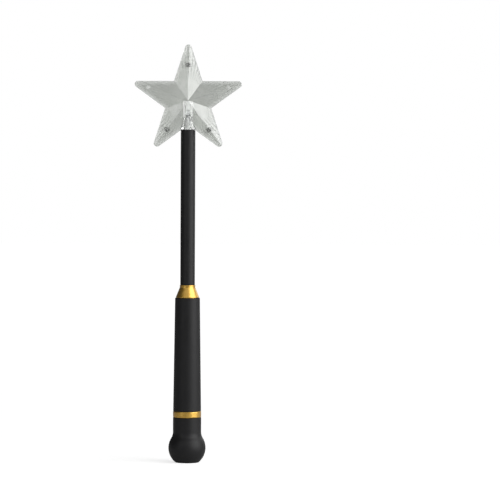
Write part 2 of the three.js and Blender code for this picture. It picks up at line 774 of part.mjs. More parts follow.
// A roof of facets that fall from the middle to the outline, two to an arm, with flutes that fan out over
// each facet, or none. It runs past the outline, so that the slab cuts it there.
function starRoof(peak, flutes) {
  const reach = 1 + CUT_MARGIN / STAR_DEPTH;
  const stepsPerFacet = Math.max(2 * flutes, 1);
  const count = 2 * STAR_ARMS * stepsPerFacet;
  const inner = [];
  const outer = [];
  const lower = [];
  for (let step = 0; step < count; step += 1) {
    const angle = firstArm + (2 * Math.PI * step) / count;
    const stepInArm = step % (2 * stepsPerFacet);
    const fromArm = (Math.min(stepInArm, 2 * stepsPerFacet - stepInArm) * 2 * Math.PI) / count;
    const edge = outlineRadius(fromArm);
    const fall = (STAR_DEPTH - STAR_RIM) / edge;
    const far = edge * reach;
    const onCrest = flutes > 0 && step % 2 === 1;
    const crest = onCrest ? (FLUTE_HEIGHT * (far - FLUTE_START)) / (edge - FLUTE_START) : 0;
    const direction = [Math.cos(angle), Math.sin(angle)];
    inner.push([FLUTE_START * direction[0], FLUTE_START * direction[1], peak - fall * FLUTE_START]);
    outer.push([far * direction[0], far * direction[1], peak - fall * far + crest]);
    lower.push([far * direction[0], far * direction[1], -CUT_MARGIN]);
  }
  const corners = [[0, 0, peak], [0, 0, -CUT_MARGIN], ...inner, ...outer, ...lower];
  const triangles = [];
  for (let step = 0; step < count; step += 1) {
    const next = (step + 1) % count;
    const [inHere, inNext] = [2 + step, 2 + next];
    const [outHere, outNext] = [inHere + count, inNext + count];
    const [lowHere, lowNext] = [outHere + count, outNext + count];
    triangles.push([0, inHere, inNext]);
    triangles.push([inHere, outHere, outNext], [inHere, outNext, inNext]);
    triangles.push([outHere, lowHere, lowNext], [outHere, lowNext, outNext]);
    triangles.push([1, lowNext, lowHere]);
  }
  return solidFrom(geometryFrom(corners, triangles));
}

// The place on an arm's axis at a distance from the star's middle.
function placeOnArm(arm, distance) {
  const along = armAngle(arm);
  return [distance * Math.cos(along), distance * Math.sin(along)];
}

// A round bar through each arm that has a screw.
function screwBars(radius, low, high) {
  const bars = SCREW_ARMS.map((arm) => roundBar(radius, low, high, placeOnArm(arm, screwCircle)));
  return bars.reduce((whole, bar) => whole.add(bar));
}

// A round bar through each arm that has a peg.
function pegBars(radius, low, high) {
  const bars = PEG_ARMS.map((arm) => roundBar(radius, low, high, placeOnArm(arm, pegCircle)));
  return bars.reduce((whole, bar) => whole.add(bar));
}

// A form turned about the wand's axis, in the star's own frame, where Y runs up the wand from its middle.
function aroundNeck(outline) {
  const shifted = outline.map(([radius, height]) => [radius, height - starMiddle]);
  return solidFrom(latheForm(shifted, 2 * SMALL_SIDES));
}

// One hollow half of the star, with its bosses and half of the sleeve that clamps the neck.
// Its own frame has the star's middle at the origin, Y up the wand and Z out of its face.
function starHalf(screwHole, pegHole) {
  const facetSlope = Math.atan2(STAR_DEPTH - STAR_RIM, edgeDistance);
  const innerPeak = STAR_DEPTH - STAR_WALL / Math.cos(facetSlope);
  const outside = starRoof(STAR_DEPTH, FLUTES_PER_FACET).intersect(starSlab(0, 0, STAR_DEPTH + CUT_MARGIN));
  const hollow = starRoof(innerPeak, 0).intersect(starSlab(STAR_WALL, -CUT_MARGIN / 2, STAR_DEPTH));
  const sleeveTopRadius = NECK_RADIUS + SEAT_GAP + SLEEVE_WALL;
  const sleeveBaseRadius = sleeveTopRadius + BARB_PROUD;
  const sleeveDrop = (notchRadius * (STAR_DEPTH - sleeveTopRadius)) / (STAR_DEPTH - STAR_RIM);
  const sleeveBottom = flangeTop + SEAT_GAP;
  const sleeve = aroundNeck([
    [0, sleeveBottom],
    [sleeveBaseRadius, sleeveBottom],
    [sleeveBaseRadius, flangeTop + BARB_RISE + BARB_HEIGHT + SEAT_GAP],
    [sleeveTopRadius, starMiddle - sleeveDrop],
    [0, starMiddle - sleeveDrop],
  ]);
  const shaftRoom = SHAFT_RADIUS + SEAT_GAP;
  const neckRoom = aroundNeck([
    [0, shaftTop - notchRadius],
    [shaftRoom, shaftTop - notchRadius],
    [shaftRoom, sleeveBottom],
    [NECK_RADIUS + SEAT_GAP, sleeveBottom],
    ...neckOutside(SEAT_GAP),
    [0, neckTop + SEAT_GAP],
  ]);
  const screwBosses = screwBars(screwHole + BOSS_WALL, -CUT_MARGIN, STAR_DEPTH);
  const pegBosses = pegBars(pegHole + BOSS_WALL, -CUT_MARGIN, STAR_DEPTH);
  const big = STAR_RADIUS + CUT_MARGIN;
  const ownSide = block([-big, -big, PARTING_GAP / 2], [big, big, STAR_DEPTH + CUT_MARGIN]);
  const room = hollow.subtract(sleeve).subtract(screwBosses).subtract(pegBosses);
  return outside.add(sleeve).subtract(room).subtract(neckRoom).intersect(ownSide);
}

// The front half, with a blind hole for the end of each screw, and the pegs.
function starFront() {
  const hole = SCREW_RADIUS + SEAT_GAP;
  const depth = SCREW_LENGTH - SCREW_SEAT;
  const half = starHalf(hole, PEG_RADIUS).subtract(screwBars(hole, -CUT_MARGIN, depth));
  return half.add(pegBars(PEG_RADIUS, -PEG_LENGTH, PARTING_GAP));
}

// The back half, with a counterbored hole for each screw and a socket for each peg.
function starBack() {
  const hole = SCREW_RADIUS + SEAT_GAP;
  const well = SCREW_HEAD_RADIUS + SEAT_GAP;
  const socket = PEG_RADIUS + SEAT_GAP;
  const half = starHalf(well, socket).subtract(screwBars(hole, -CUT_MARGIN, STAR_DEPTH));
  const seated = half.subtract(screwBars(well, SCREW_SEAT, STAR_DEPTH + CUT_MARGIN));
  return seated.subtract(pegBars(socket, -CUT_MARGIN, PEG_LENGTH + SEAT_GAP));
}

// A screw of the star, its head in the back half, in that half's frame.
function starScrew(arm) {
  const seat = SCREW_SEAT + SEAT_GAP;
  const form = latheForm(
    [
      [0, seat - SCREW_LENGTH],
      [SCREW_RADIUS, seat - SCREW_LENGTH + SCREW_RADIUS],
      [SCREW_RADIUS, seat],
      [SCREW_HEAD_RADIUS, seat],
      [SCREW_HEAD_RADIUS, seat + SCREW_HEAD_HEIGHT],
      [0, seat + SCREW_HEAD_HEIGHT],
    ],
    SMALL_SIDES,
  );
  return solidFrom(form.rotateX(Math.PI / 2).translate(...placeOnArm(arm, screwCircle), 0));
}

// Finishes
const looks = {
  black: { color: 0x1c1c1e, roughness: 0.55, metalness: 0 },
  gold: { color: 0xc79a3e, roughness: 0.35, metalness: 1 },
  clear: { color: 0xeef1ee, roughness: 0.08, metalness: 0, transparent: true, opacity: 0.35 },
  steel: { color: 0x9a9a9c, roughness: 0.3, metalness: 1 },
  brass: { color: 0xc8a860, roughness: 0.35, metalness: 1 },
  cell: { color: 0x2d6e4a, roughness: 0.4, metalness: 0 },
  board: { color: 0x1f5a34, roughness: 0.5, metalness: 0 },
  chip: { color: 0x202022, roughness: 0.6, metalness: 0 },
  white: { color: 0xe8e8e4, roughness: 0.5, metalness: 0 },
  red: { color: 0xb02020, roughness: 0.5, metalness: 0 },
};

// A named mesh of a solid, in a finish.
function piece(name, solid, look) {
  const mesh = solid.getMesh();
  const geometry = new THREE.BufferGeometry();
  geometry.setAttribute("position", new THREE.BufferAttribute(new Float32Array(mesh.vertProperties), 3));
  geometry.setIndex(new THREE.BufferAttribute(new Uint32Array(mesh.triVerts), 1));
  const shaded = toCreasedNormals(geometry, CREASE_ANGLE);
  const part = new THREE.Mesh(shaded, new THREE.MeshStandardMaterial(looks[look]));
  part.name = name;
  return part;
}

// The star, standing on the wand: the front half faces -Y, and the back half is the same form turned round.
function starGroup() {
  const front = new THREE.Group();
  front.position.set(0, 0, starMiddle);
  front.rotation.x = Math.PI / 2;
  front.add(piece("star_front", starFront(), "clear"));
  const back = new THREE.Group();
  back.rotation.y = Math.PI;
  back.add(piece("star_back", starBack(), "clear"));
  SCREW_ARMS.forEach((arm, place) => {
    back.add(piece(`star_screw_${place + 1}`, starScrew(arm), "steel"));
  });
  front.add(back);
  return front;
}

const wand = new THREE.Group();
wand.add(piece("pommel_cap", pommelCap(), "black"));
wand.add(piece("contact_cup", contactCup(), "brass"));
wand.add(piece("battery_spring", batterySpring(), "steel"));
wand.add(piece("gold_ring", goldRing(), "gold"));
wand.add(piece("grip_sleeve", gripSleeve(), "black"));
CELL_NAMES.forEach((name, place) => wand.add(piece(name, cell(place), "cell")));
wand.add(piece("positive_contact", positiveContact(), "brass"));
wand.add(piece("ground_strip", groundStrip(), "brass"));
wand.add(piece("board_carrier", boardCarrier(), "white"));
wand.add(piece("control_board", controlBoard(), "board"));
wand.add(piece("controller_chip", controllerChip(), "chip"));
wand.add(piece("radio_can", radioCan(), "steel"));
wand.add(piece("switch_body", switchBody(), "chip"));
wand.add(piece("switch_plunger", switchPlunger(), "white"));
wand.add(piece("push_button", pushButton(), "black"));
wand.add(piece("ferrule", ferrule(), "gold"));
wand.add(piece("shaft_tube", shaftTube(), "black"));
leadPlaces.forEach(({ name, side }) => wand.add(piece(name, ledWire(side), side > 0 ? "red" : "chip")));
wand.add(piece("star_neck", starNeck(), "clear"));
wand.add(piece("star_led", starLed(), "white"));
wand.add(piece("led_plug", ledPlug(), "white"));
wand.add(starGroup());

export default wand;
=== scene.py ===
import math

import bpy
from mathutils import Matrix, Quaternion, Vector


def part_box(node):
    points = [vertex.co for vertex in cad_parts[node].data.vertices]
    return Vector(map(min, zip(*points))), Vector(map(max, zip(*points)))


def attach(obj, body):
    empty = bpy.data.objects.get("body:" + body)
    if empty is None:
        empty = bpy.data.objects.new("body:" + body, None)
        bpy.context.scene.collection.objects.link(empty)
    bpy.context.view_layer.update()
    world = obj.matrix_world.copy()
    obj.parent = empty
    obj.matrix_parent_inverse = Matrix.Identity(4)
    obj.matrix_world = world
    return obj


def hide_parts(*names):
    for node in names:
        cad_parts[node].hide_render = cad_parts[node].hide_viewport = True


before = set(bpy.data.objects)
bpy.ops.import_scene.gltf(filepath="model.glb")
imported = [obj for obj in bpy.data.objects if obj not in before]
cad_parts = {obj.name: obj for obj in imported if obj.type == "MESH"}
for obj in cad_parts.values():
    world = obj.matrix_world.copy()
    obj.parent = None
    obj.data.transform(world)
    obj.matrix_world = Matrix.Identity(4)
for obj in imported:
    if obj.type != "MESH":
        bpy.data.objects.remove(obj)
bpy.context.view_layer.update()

# Sizes in metres, as in the solids
SEAT_GAP = 0.0003  # between pieces that seat on each other
PARTING_GAP = 0.0003  # between the halves of the star
FOOT_RADIUS = 0.0116
FOOT_THICKNESS = 0.003
POMMEL_FILLET = 0.012
CAP_BORE = 0.012
CUP_PROUD = 0.001
SPIGOT_RADIUS = 0.0105
THREAD_CREST = 0.0116
THREAD_GAP = 0.0004
THREAD_LEAD = 0.004
THREAD_TURNS = 1.25
THREAD_FOOT_WIDTH = 0.0018
THREAD_CREST_WIDTH = 0.001
THREAD_MARGIN = 0.0025
THREAD_ROOT = 0.0002
CELL_PLAY = 0.0005
CONTACT_THICKNESS = 0.0005
CHAMBER_RADIUS = 0.0101
GRIP_STEP = 0.00015
GRIP_TOP_RADIUS = 0.0124
STRIP_CHANNEL_WIDTH = 0.0046
STRIP_CHANNEL_DEPTH = 0.0086
BUTTON_RADIUS = 0.0048
BUTTON_FLANGE_THICKNESS = 0.0012
FERRULE_HEIGHT = 0.0126
FERRULE_STEP = 0.00055
LIP_HEIGHT = 0.0024
LIP_PROUD = 0.00045
PLUG_FLOOR = 0.002
SHAFT_WALL = 0.002
SHAFT_STEP = 0.0007
NECK_RADIUS = 0.0043
FLANGE_HEIGHT = 0.0015
BARB_PROUD = 0.0008
BARB_HEIGHT = 0.0016
BARB_RISE = 0.003
LED_RADIUS = 0.0025
LED_FLANGE_RADIUS = 0.00295
LED_FLANGE_HEIGHT = 0.001
LED_HEIGHT = 0.0086
LEAD_WIDTH = 0.0005
LEAD_SPACING = 0.00254
STAR_ARMS = 5
STAR_RADIUS = 0.0558
STAR_TIP_RADIUS = 0.00326
STAR_DEPTH = 0.011
STAR_RIM = 0.003
STAR_WALL = 0.0016
FLUTES_PER_FACET = 7
FLUTE_START = 0.018
SLEEVE_WALL = 0.0013
SCREWS = 3
SCREW_RADIUS = 0.001
SCREW_HEAD_RADIUS = 0.0019
SCREW_HEAD_HEIGHT = 0.0014
SCREW_LENGTH = 0.007
SCREW_SEAT = 0.002
BOSS_WALL = 0.0011
PEG_ARMS = (1, 4)
PEG_INSET = 0.0138
PEG_RADIUS = 0.0013
PEG_LENGTH = 0.0026

# Sizes that only the fine surface has
EDGE = 0.0004  # rounding of moulded edges
FINE_EDGE = 0.0002  # rounding of finer edges
RING_EDGE = 0.0012  # rounding of the gold ring's rims
FERRULE_EDGE = 0.0007  # rounding of the ferrule's lower rim
SUPPORT = 0.00015  # from a rounding to the row that keeps the wall beside it straight
BUTTON_EDGE = 0.0007
BUTTON_DISH = 0.0003
THREAD_RUN_OUT = 0.12  # turns over which a thread fades at its ends
THREAD_LEAST = 0.1  # share of its height that is left there
SCREW_PITCH = 0.0008
SCREW_ROOT_SHARE = 0.75  # of a screw's radius, between its turns
SCREW_NECK_SHARE = 0.9  # of a screw's radius, under its head
SCREW_HEAD_EDGE = 0.0004
CROSS_WIDTH = 0.0006  # of the recess in a screw's head
CROSS_LENGTH = 0.0022
CROSS_DEPTH = 0.0008
POST_RISE = 0.0042  # from the lamp's underside to the end of one lead inside it
POST_HALF = 0.0006  # half the width of that end
ANVIL_RISE = 0.0036  # the same for the other lead
ANVIL_HALF = 0.0009
SCREW_BOSS_TOP = 0.005  # inside the star's wall, from the parting
PEG_BOSS_TOP = 0.0043
FLUTE_HEIGHT = 0.00026  # softer than in the solids
NECK_LIGHT_HALF = 0.0042  # half the width of the stretch of the star in front of the neck, which is painted lighter as light
BASE_NECK_LIGHT_HALF = 0.005  # half its width at the base of the sleeve
TINT_FADE = 0.001  # over which the grey tint comes back
PEG_GREY_SHARE = 0.6  # share of the grey tint that is left where a peg joins the two halves, a paler spot painted on as a highlight
RIM_GREY_SHARE = 0.55  # share of the grey tint that is left at the star's outline, which is painted lighter as light
RIM_FADE = 0.005  # inside the outline, where the grey tint is whole again
CUT_MARGIN = 0.001

# The clear star's tint and refractive index over most of it, and where a lighter tint is painted on as
# light
GREY_TINT = (0.588, 0.602, 0.58)
PAINTED_LIGHT_TINT = (0.92, 0.925, 0.92)
MAIN_INDEX = 1.58
LOW_INDEX = 1.2

# Fineness
ROUND_SIDES = 128
SMALL_SIDES = 48
ARC_STEPS = 32
CORNER_STEPS = 5
THREAD_STEPS_PER_TURN = 72
FLUTE_STEPS = 6
TIP_FLUTE_STEPS = 14
FLUTE_ROWS = 8
PLAIN_ROWS = 3
WALL_ROWS = 3
CORNER_SHARE = 0.45  # the most of a wall that a corner's rounding takes
CORNER_RUN = 3  # a wall is drawn from this many roundings before its corner
SHARP_ANGLE = math.radians(32)
STAR_SHARP_ANGLE = math.radians(21)


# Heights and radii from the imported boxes
def span(node):
    """The lowest height, the highest height and the radius of an upright node."""
    low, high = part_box(node)
    return low.z, high.z, high.x


POMMEL_TOP = span("pommel_cap")[1]
BALL_RADIUS = span("pommel_cap")[2]
_, CUP_TOP, CUP_RADIUS = span("contact_cup")
RING_BOTTOM, RING_TOP, RING_RADIUS = span("gold_ring")
SPIGOT_BOTTOM, GRIP_TOP, _ = span("grip_sleeve")
CELL_RADIUS = span("battery_lower")[2]
CHAMBER_FLOOR = span("positive_contact")[0] + CONTACT_THICKNESS
PLUG_BOTTOM, FERRULE_TOP, _ = span("ferrule")
SHAFT_BOTTOM, SHAFT_TOP, SHAFT_RADIUS = span("shaft_tube")
NECK_BOTTOM, NECK_TOP, _ = span("star_neck")
LEAD_BOTTOM, LED_TOP, _ = span("star_led")
STAR_TOP = span("star_front")[1]

CELL_BORE = CELL_RADIUS + CELL_PLAY
GRIP_BOTTOM = RING_TOP + SEAT_GAP
GRIP_BASE_RADIUS = RING_RADIUS - GRIP_STEP
THREAD_START = SPIGOT_BOTTOM + THREAD_MARGIN
SHAFT_BORE = SHAFT_RADIUS - SHAFT_WALL
SHAFT_END_RADIUS = SHAFT_RADIUS - SHAFT_STEP
FERRULE_BOTTOM = FERRULE_TOP - FERRULE_HEIGHT
FLANGE_BOTTOM = SHAFT_TOP + SEAT_GAP
FLANGE_TOP = FLANGE_BOTTOM + FLANGE_HEIGHT
SLEEVE_STEP = FLANGE_TOP + BARB_RISE + BARB_HEIGHT + SEAT_GAP  # where the sleeve starts to narrow
LED_BOTTOM = LED_TOP - LED_HEIGHT
STAR_MIDDLE = STAR_TOP - STAR_RADIUS

ARM_STEP = 2 * math.pi / STAR_ARMS
EDGE_TURN = ARM_STEP  # from an arm's axis to the outward direction of its edge
SHARP_RADIUS = STAR_RADIUS + STAR_TIP_RADIUS * (1 / math.cos(EDGE_TURN) - 1)
EDGE_DISTANCE = SHARP_RADIUS * math.cos(EDGE_TURN)
NOTCH_RADIUS = EDGE_DISTANCE / math.cos(ARM_STEP / 2)


def peg_places():
    """The middle of each peg, as (x, z)."""
    distance = STAR_RADIUS - PEG_INSET
    angles = [math.pi / 2 + arm * ARM_STEP for arm in PEG_ARMS]
    return [(distance * math.cos(a), STAR_MIDDLE + distance * math.sin(a)) for a in angles]


# Mesh helpers
def arc(middle, radius, start, end, steps=ARC_STEPS):
    """Points on an arc, both ends included."""
    angles = [start + (end - start) * step / steps for step in range(steps + 1)]
    return [(middle[0] + radius * math.cos(a), middle[1] + radius * math.sin(a)) for a in angles]


def corner(before, here, after, radius):
    """A rounded corner, with a row on each side that keeps the walls straight."""
    point = Vector(here)
    back = Vector(before) - point
    ahead = Vector(after) - point
    half_angle = back.angle(ahead) / 2
    most = CORNER_SHARE * min(back.length, ahead.length)
    reach = min(radius / math.tan(half_angle), most)
    back.normalize()
    ahead.normalize()
    start = point + back * reach
    end = point + ahead * reach
    points = [start + back * min(SUPPORT, reach)]
    for step in range(CORNER_STEPS + 1):
        share = step / CORNER_STEPS
        bend = 2 * share * (1 - share)
        points.append((1 - share) ** 2 * start + bend * point + share**2 * end)
    points.append(end + ahead * min(SUPPORT, reach))
    return [tuple(p) for p in points]


def rounded(outline):
    """An outline of (radius, height) points, where a third number rounds that corner."""
    points = []
    for place, entry in enumerate(outline):
        if len(entry) < 3:
            points.append(entry)
            continue
        before = outline[place - 1][:2]
        after = outline[(place + 1) % len(outline)][:2]
        points.extend(corner(before, entry[:2], after, entry[2]))
    return points


def make_object(name, points, faces, sharp=SHARP_ANGLE):
    """A smooth shaded mesh object with sharp creases."""
    mesh = bpy.data.meshes.new(name)
    mesh.from_pydata(points, [], faces)
    piece = bpy.data.objects.new(name, mesh)
    bpy.context.scene.collection.objects.link(piece)
    shade(piece, sharp)
    return piece


def shade(piece, sharp=SHARP_ANGLE):
    mesh = piece.data
    mesh.polygons.foreach_set("use_smooth", [True] * len(mesh.polygons))
    mesh.set_sharp_from_angle(angle=sharp)
    mesh.update()


def revolved(name, outline, sides=ROUND_SIDES, place=Matrix.Identity(4)):
    """A solid turned about Z, whose outline goes up the outside and ends on the axis or closes."""
    rows = rounded(outline)
    points = []
    rings = []
    for radius, height in rows:
        first = len(points)
        count = sides if radius > 0 else 1
        for side in range(count):
            angle = 2 * math.pi * side / sides
            points.append((radius * math.cos(angle), radius * math.sin(angle), height))
        rings.append([first + side % count for side in range(sides)])
    closed = rows[0][0] > 0
    pairs = list(zip(rings, rings[1:]))
    if closed:
        pairs.append((rings[-1], rings[0]))
    faces = []
    for low, high in pairs:
        for side in range(sides):
            beside = (side + 1) % sides
            loop = [low[side], low[beside], high[beside], high[side]]
            faces.append(list(dict.fromkeys(loop)))
    piece = make_object(name, points, faces)
    piece.data.transform(place)
    return piece


def apply_boolean(piece, tool, operation, sharp):
    modifier = piece.modifiers.new("join", "BOOLEAN")
    modifier.operation = operation
    modifier.solver = "MANIFOLD"
    modifier.object = tool
    graph = bpy.context.evaluated_depsgraph_get()
    result = bpy.data.meshes.new_from_object(piece.evaluated_get(graph))
    piece.modifiers.clear()
    piece.data = result
    bpy.data.objects.remove(tool)
    shade(piece, sharp)


def fuse(piece, tool, sharp=SHARP_ANGLE):
    apply_boolean(piece, tool, "UNION", sharp)


def cut(piece, tool, sharp=SHARP_ANGLE):
    apply_boolean(piece, tool, "DIFFERENCE", sharp)


def keep_common(piece, tool, sharp=SHARP_ANGLE):
    apply_boolean(piece, tool, "INTERSECT", sharp)


def block(low, high):
    """A closed block between two corners."""
    points = [(x, y, z) for x in (low[0], high[0]) for y in (low[1], high[1]) for z in (low[2], high[2])]
    faces = [(0, 1, 3, 2), (4, 6, 7, 5), (0, 4, 5, 1), (2, 3, 7, 6), (0, 2, 6, 4), (1, 5, 7, 3)]
    return make_object("block", points, faces)


def along_y(x, z, outward=1):
    """The place of a form turned about a line along Y, at x and z, that faces +Y or -Y."""
    return Matrix.Translation((x, 0, z)) @ Matrix.Rotation(-outward * math.pi / 2, 4, "X")


def bar(radius, low, high, place=Matrix.Identity(4), sides=SMALL_SIDES):
    return revolved("bar", [(0, low), (radius, low), (radius, high), (0, high)], sides, place)


def thread_ridge(foot_radius, crest_radius, start):
    """A helical ridge from the wall at foot_radius, which fades out at both ends."""
    inward = crest_radius < foot_radius
    root = foot_radius + (THREAD_ROOT if inward else -THREAD_ROOT)
    steps = round(THREAD_TURNS * THREAD_STEPS_PER_TURN)
    points = []
    for step in range(steps + 1):
        turn = step / THREAD_STEPS_PER_TURN
        share = min(1, turn / THREAD_RUN_OUT, (THREAD_TURNS - turn) / THREAD_RUN_OUT)
        crest = root + (crest_radius - root) * max(share, THREAD_LEAST)
        section = [
            (root, -THREAD_FOOT_WIDTH / 2),
            (crest, -THREAD_CREST_WIDTH / 2),
            (crest, THREAD_CREST_WIDTH / 2),
            (root, THREAD_FOOT_WIDTH / 2),
        ]
        if inward:
            section.reverse()
        angle = 2 * math.pi * turn
        height = start + turn * THREAD_LEAD
        points.extend((r * math.cos(angle), r * math.sin(angle), height + rise) for r, rise in section)
    corners = len(section)
    first_end = list(range(corners))
    last_end = [corners * steps + side for side in reversed(first_end)]
    faces = [first_end, last_end]
    for step in range(steps):
        for side in range(corners):
            here = corners * step + side
            beside = corners * step + (side + 1) % corners
            faces.append((here, here + corners, beside + corners, beside))
    return make_object("thread", points, faces)


def dress(piece, body, slot, material, *nodes):
    """The piece moves with a body, stands for the nodes and takes a finish."""
    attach(piece, body)
    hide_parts(*nodes)
    piece.data.materials.clear()
    piece.data.materials.append(material)


# How finishes vary: bands are the values of a noise, or of a share, from the first look to the second
COLOUR_BAND = (0.35, 0.65)
ROUGHNESS_BAND = (0.3, 0.7)
TRACK_BAND = (0.48, 0.52)
WHOLE_BAND = (0, 1)
SMOOTHER = 0.05  # from a plain moulding's roughness to its smoothest spots
ROUGHER = 0.08


# Material helpers
def start_material(name, colour, roughness, metallic=0.0):
    """A material with its shader and the place on the object."""
    material = bpy.data.materials.new(name)
    material.use_nodes = True
    tree = material.node_tree
    shader = tree.nodes["Principled BSDF"]
    shader.inputs["Base Color"].default_value = (*colour, 1)
    shader.inputs["Roughness"].default_value = roughness
    shader.inputs["Metallic"].default_value = metallic
    place = tree.nodes.new("ShaderNodeTexCoord").outputs["Object"]
    return material, tree, shader, place


def add_noise(tree, place, scale, detail=3.0, stretch=(1, 1, 1)):
    """Noise whose grains are 1/scale metres, stretched along an axis where its number is small."""
    mapping = tree.nodes.new("ShaderNodeMapping")
    mapping.inputs["Scale"].default_value = stretch
    noise = tree.nodes.new("ShaderNodeTexNoise")
    noise.inputs["Scale"].default_value = scale
    noise.inputs["Detail"].default_value = detail
    tree.links.new(place, mapping.inputs["Vector"])
    tree.links.new(mapping.outputs["Vector"], noise.inputs["Vector"])
    return noise.outputs["Fac"]


def fade(tree, value, low, high, least=0):
    """The least share below low, rising to 1 above high."""
    spread = tree.nodes.new("ShaderNodeMapRange")
    spread.interpolation_type = "SMOOTHSTEP"
    spread.inputs["From Min"].default_value = low
    spread.inputs["From Max"].default_value = high
    spread.inputs["To Min"].default_value = least
    tree.links.new(value, spread.inputs["Value"])
    return spread.outputs["Result"]


def join_values(tree, operation, *values):
    """The result of a math node whose values are numbers or come from other nodes."""
    node = tree.nodes.new("ShaderNodeMath")
    node.operation = operation
    for entry, value in zip(node.inputs, values):
        if isinstance(value, bpy.types.NodeSocket):
            tree.links.new(value, entry)
        else:
            entry.default_value = value
    return node.outputs["Value"]


def vary_colour(tree, shader, share, dark, light, band=COLOUR_BAND):
    """The colour goes from dark to light as a share crosses a band."""
    ramp = tree.nodes.new("ShaderNodeValToRGB")
    for element, position, colour in zip(ramp.color_ramp.elements, band, (dark, light)):
        element.position = position
        element.color = (*colour, 1)
    tree.links.new(share, ramp.inputs["Fac"])
    tree.links.new(ramp.outputs["Color"], shader.inputs["Base Color"])


def vary_input(tree, shader, name, share, low, high, band):
    """One number of the shader goes from low to high as a share crosses a band."""
    spread = tree.nodes.new("ShaderNodeMapRange")
    spread.inputs["From Min"].default_value = band[0]
    spread.inputs["From Max"].default_value = band[1]
    spread.inputs["To Min"].default_value = low
    spread.inputs["To Max"].default_value = high
    tree.links.new(share, spread.inputs["Value"])
    tree.links.new(spread.outputs["Result"], shader.inputs[name])


def vary_roughness(tree, shader, share, low, high):
    vary_input(tree, shader, "Roughness", share, low, high, ROUGHNESS_BAND)


def add_bump(tree, shader, height, strength, distance):
    bump = tree.nodes.new("ShaderNodeBump")
    bump.inputs["Strength"].default_value = strength
    bump.inputs["Distance"].default_value = distance
    tree.links.new(height, bump.inputs["Height"])
    tree.links.new(bump.outputs["Normal"], shader.inputs["Normal"])


# Materials
def soft_black():
    """Matt soft-touch moulding with a fine spark-eroded grain and faint handling marks."""
    material, tree, shader, place = start_material("soft_black", (0.006, 0.006, 0.007), 0.5)
    shader.inputs["Specular IOR Level"].default_value = 0.43
    marks = add_noise(tree, place, scale=60, detail=5)
    vary_colour(tree, shader, marks, (0.005, 0.005, 0.0058), (0.007, 0.007, 0.008))
    vary_roughness(tree, shader, marks, 0.47, 0.55)
    grain = add_noise(tree, place, scale=4500, detail=2)
    add_bump(tree, shader, grain, strength=0.12, distance=0.00005)
    return material


def button_rubber():
    material, tree, shader, place = start_material("button_rubber", (0.022, 0.022, 0.024), 0.65)
    marks = add_noise(tree, place, scale=300, detail=4)
    vary_colour(tree, shader, marks, (0.02, 0.02, 0.022), (0.028, 0.028, 0.03))
    vary_roughness(tree, shader, marks, 0.58, 0.7)
    add_bump(tree, shader, add_noise(tree, place, scale=6000, detail=2), strength=0.15, distance=0.00004)
    return material


def satin_gold():
    """Lacquered gold plating with fine turned lines round it."""
    material, tree, shader, place = start_material("satin_gold", (0.82, 0.48, 0.065), 0.38, metallic=1.0)
    shader.inputs["Coat Weight"].default_value = 1.0
    shader.inputs["Coat IOR"].default_value = 1.6
    shader.inputs["Coat Roughness"].default_value = 0.3
    lines = add_noise(tree, place, scale=1, detail=3, stretch=(60, 60, 9000))
    clouds = add_noise(tree, place, scale=150, detail=4)
    vary_colour(tree, shader, clouds, (0.8, 0.46, 0.055), (0.85, 0.51, 0.08))
    vary_roughness(tree, shader, lines, 0.34, 0.44)
    add_bump(tree, shader, lines, strength=0.1, distance=0.00002)
    return material


def distance_from(tree, aside, height, x, z):
    """The distance from a point at x to the side and the height z."""
    sides = [join_values(tree, "SUBTRACT", aside, x), join_values(tree, "SUBTRACT", height, z)]
    squares = [join_values(tree, "MULTIPLY", side, side) for side in sides]
    return join_values(tree, "SQRT", join_values(tree, "ADD", *squares))


def away_from_pegs(tree, aside, height):
    """A lower share on the two side arms where a peg fills the star's hollow, which paints a paler spot
    there as a highlight, and 1 over the rest of it.
    """
    peg_x, peg_z = peg_places()[0]
    distance = distance_from(tree, aside, height, abs(peg_x), peg_z)
    return fade(tree, distance, PEG_RADIUS, PEG_RADIUS + TINT_FADE, PEG_GREY_SHARE)


def outside_upright_patch(tree, aside, height, half, top):
    """0 in an upright patch below its top, as far as half its width from the axis, and 1 outside it."""
    beside = fade(tree, aside, half, half + TINT_FADE)
    above = fade(tree, height, top, top + TINT_FADE)
    return join_values(tree, "MAXIMUM", beside, above)


def away_from_rim(tree, aside, height):
    """A lower share at the star's outline, which paints the outline lighter as light, and 1 further inside
    it.
    """
    rise = join_values(tree, "SUBTRACT", height, STAR_MIDDLE)
    from_top = join_values(tree, "ARCTAN2", aside, rise)
    turn = join_values(tree, "WRAP", from_top, ARM_STEP / 2, -ARM_STEP / 2)
    from_arm = join_values(tree, "ABSOLUTE", turn)
    distance = distance_from(tree, aside, height, 0, STAR_MIDDLE)
    from_edge = join_values(tree, "COSINE", join_values(tree, "SUBTRACT", EDGE_TURN, from_arm))
    reach = join_values(tree, "MULTIPLY", distance, from_edge)
    inset = join_values(tree, "SUBTRACT", EDGE_DISTANCE, reach)
    return fade(tree, inset, 0, RIM_FADE, RIM_GREY_SHARE)


def grey_tint_share(tree, place):
    """1 where the star keeps its grey tint, less at its pegs and outline, and 0 before the neck, where a
    lighter tint is painted on as light.
    """
    axes = tree.nodes.new("ShaderNodeSeparateXYZ")
    tree.links.new(place, axes.inputs["Vector"])
    height = axes.outputs["Z"]
    aside = join_values(tree, "ABSOLUTE", axes.outputs["X"])
    share = outside_upright_patch(tree, aside, height, NECK_LIGHT_HALF, NECK_TOP)
    limits = (
        outside_upright_patch(tree, aside, height, BASE_NECK_LIGHT_HALF, SLEEVE_STEP),
        away_from_pegs(tree, aside, height),
        away_from_rim(tree, aside, height),
    )
    for limit in limits:
        share = join_values(tree, "MINIMUM", share, limit)
    return share


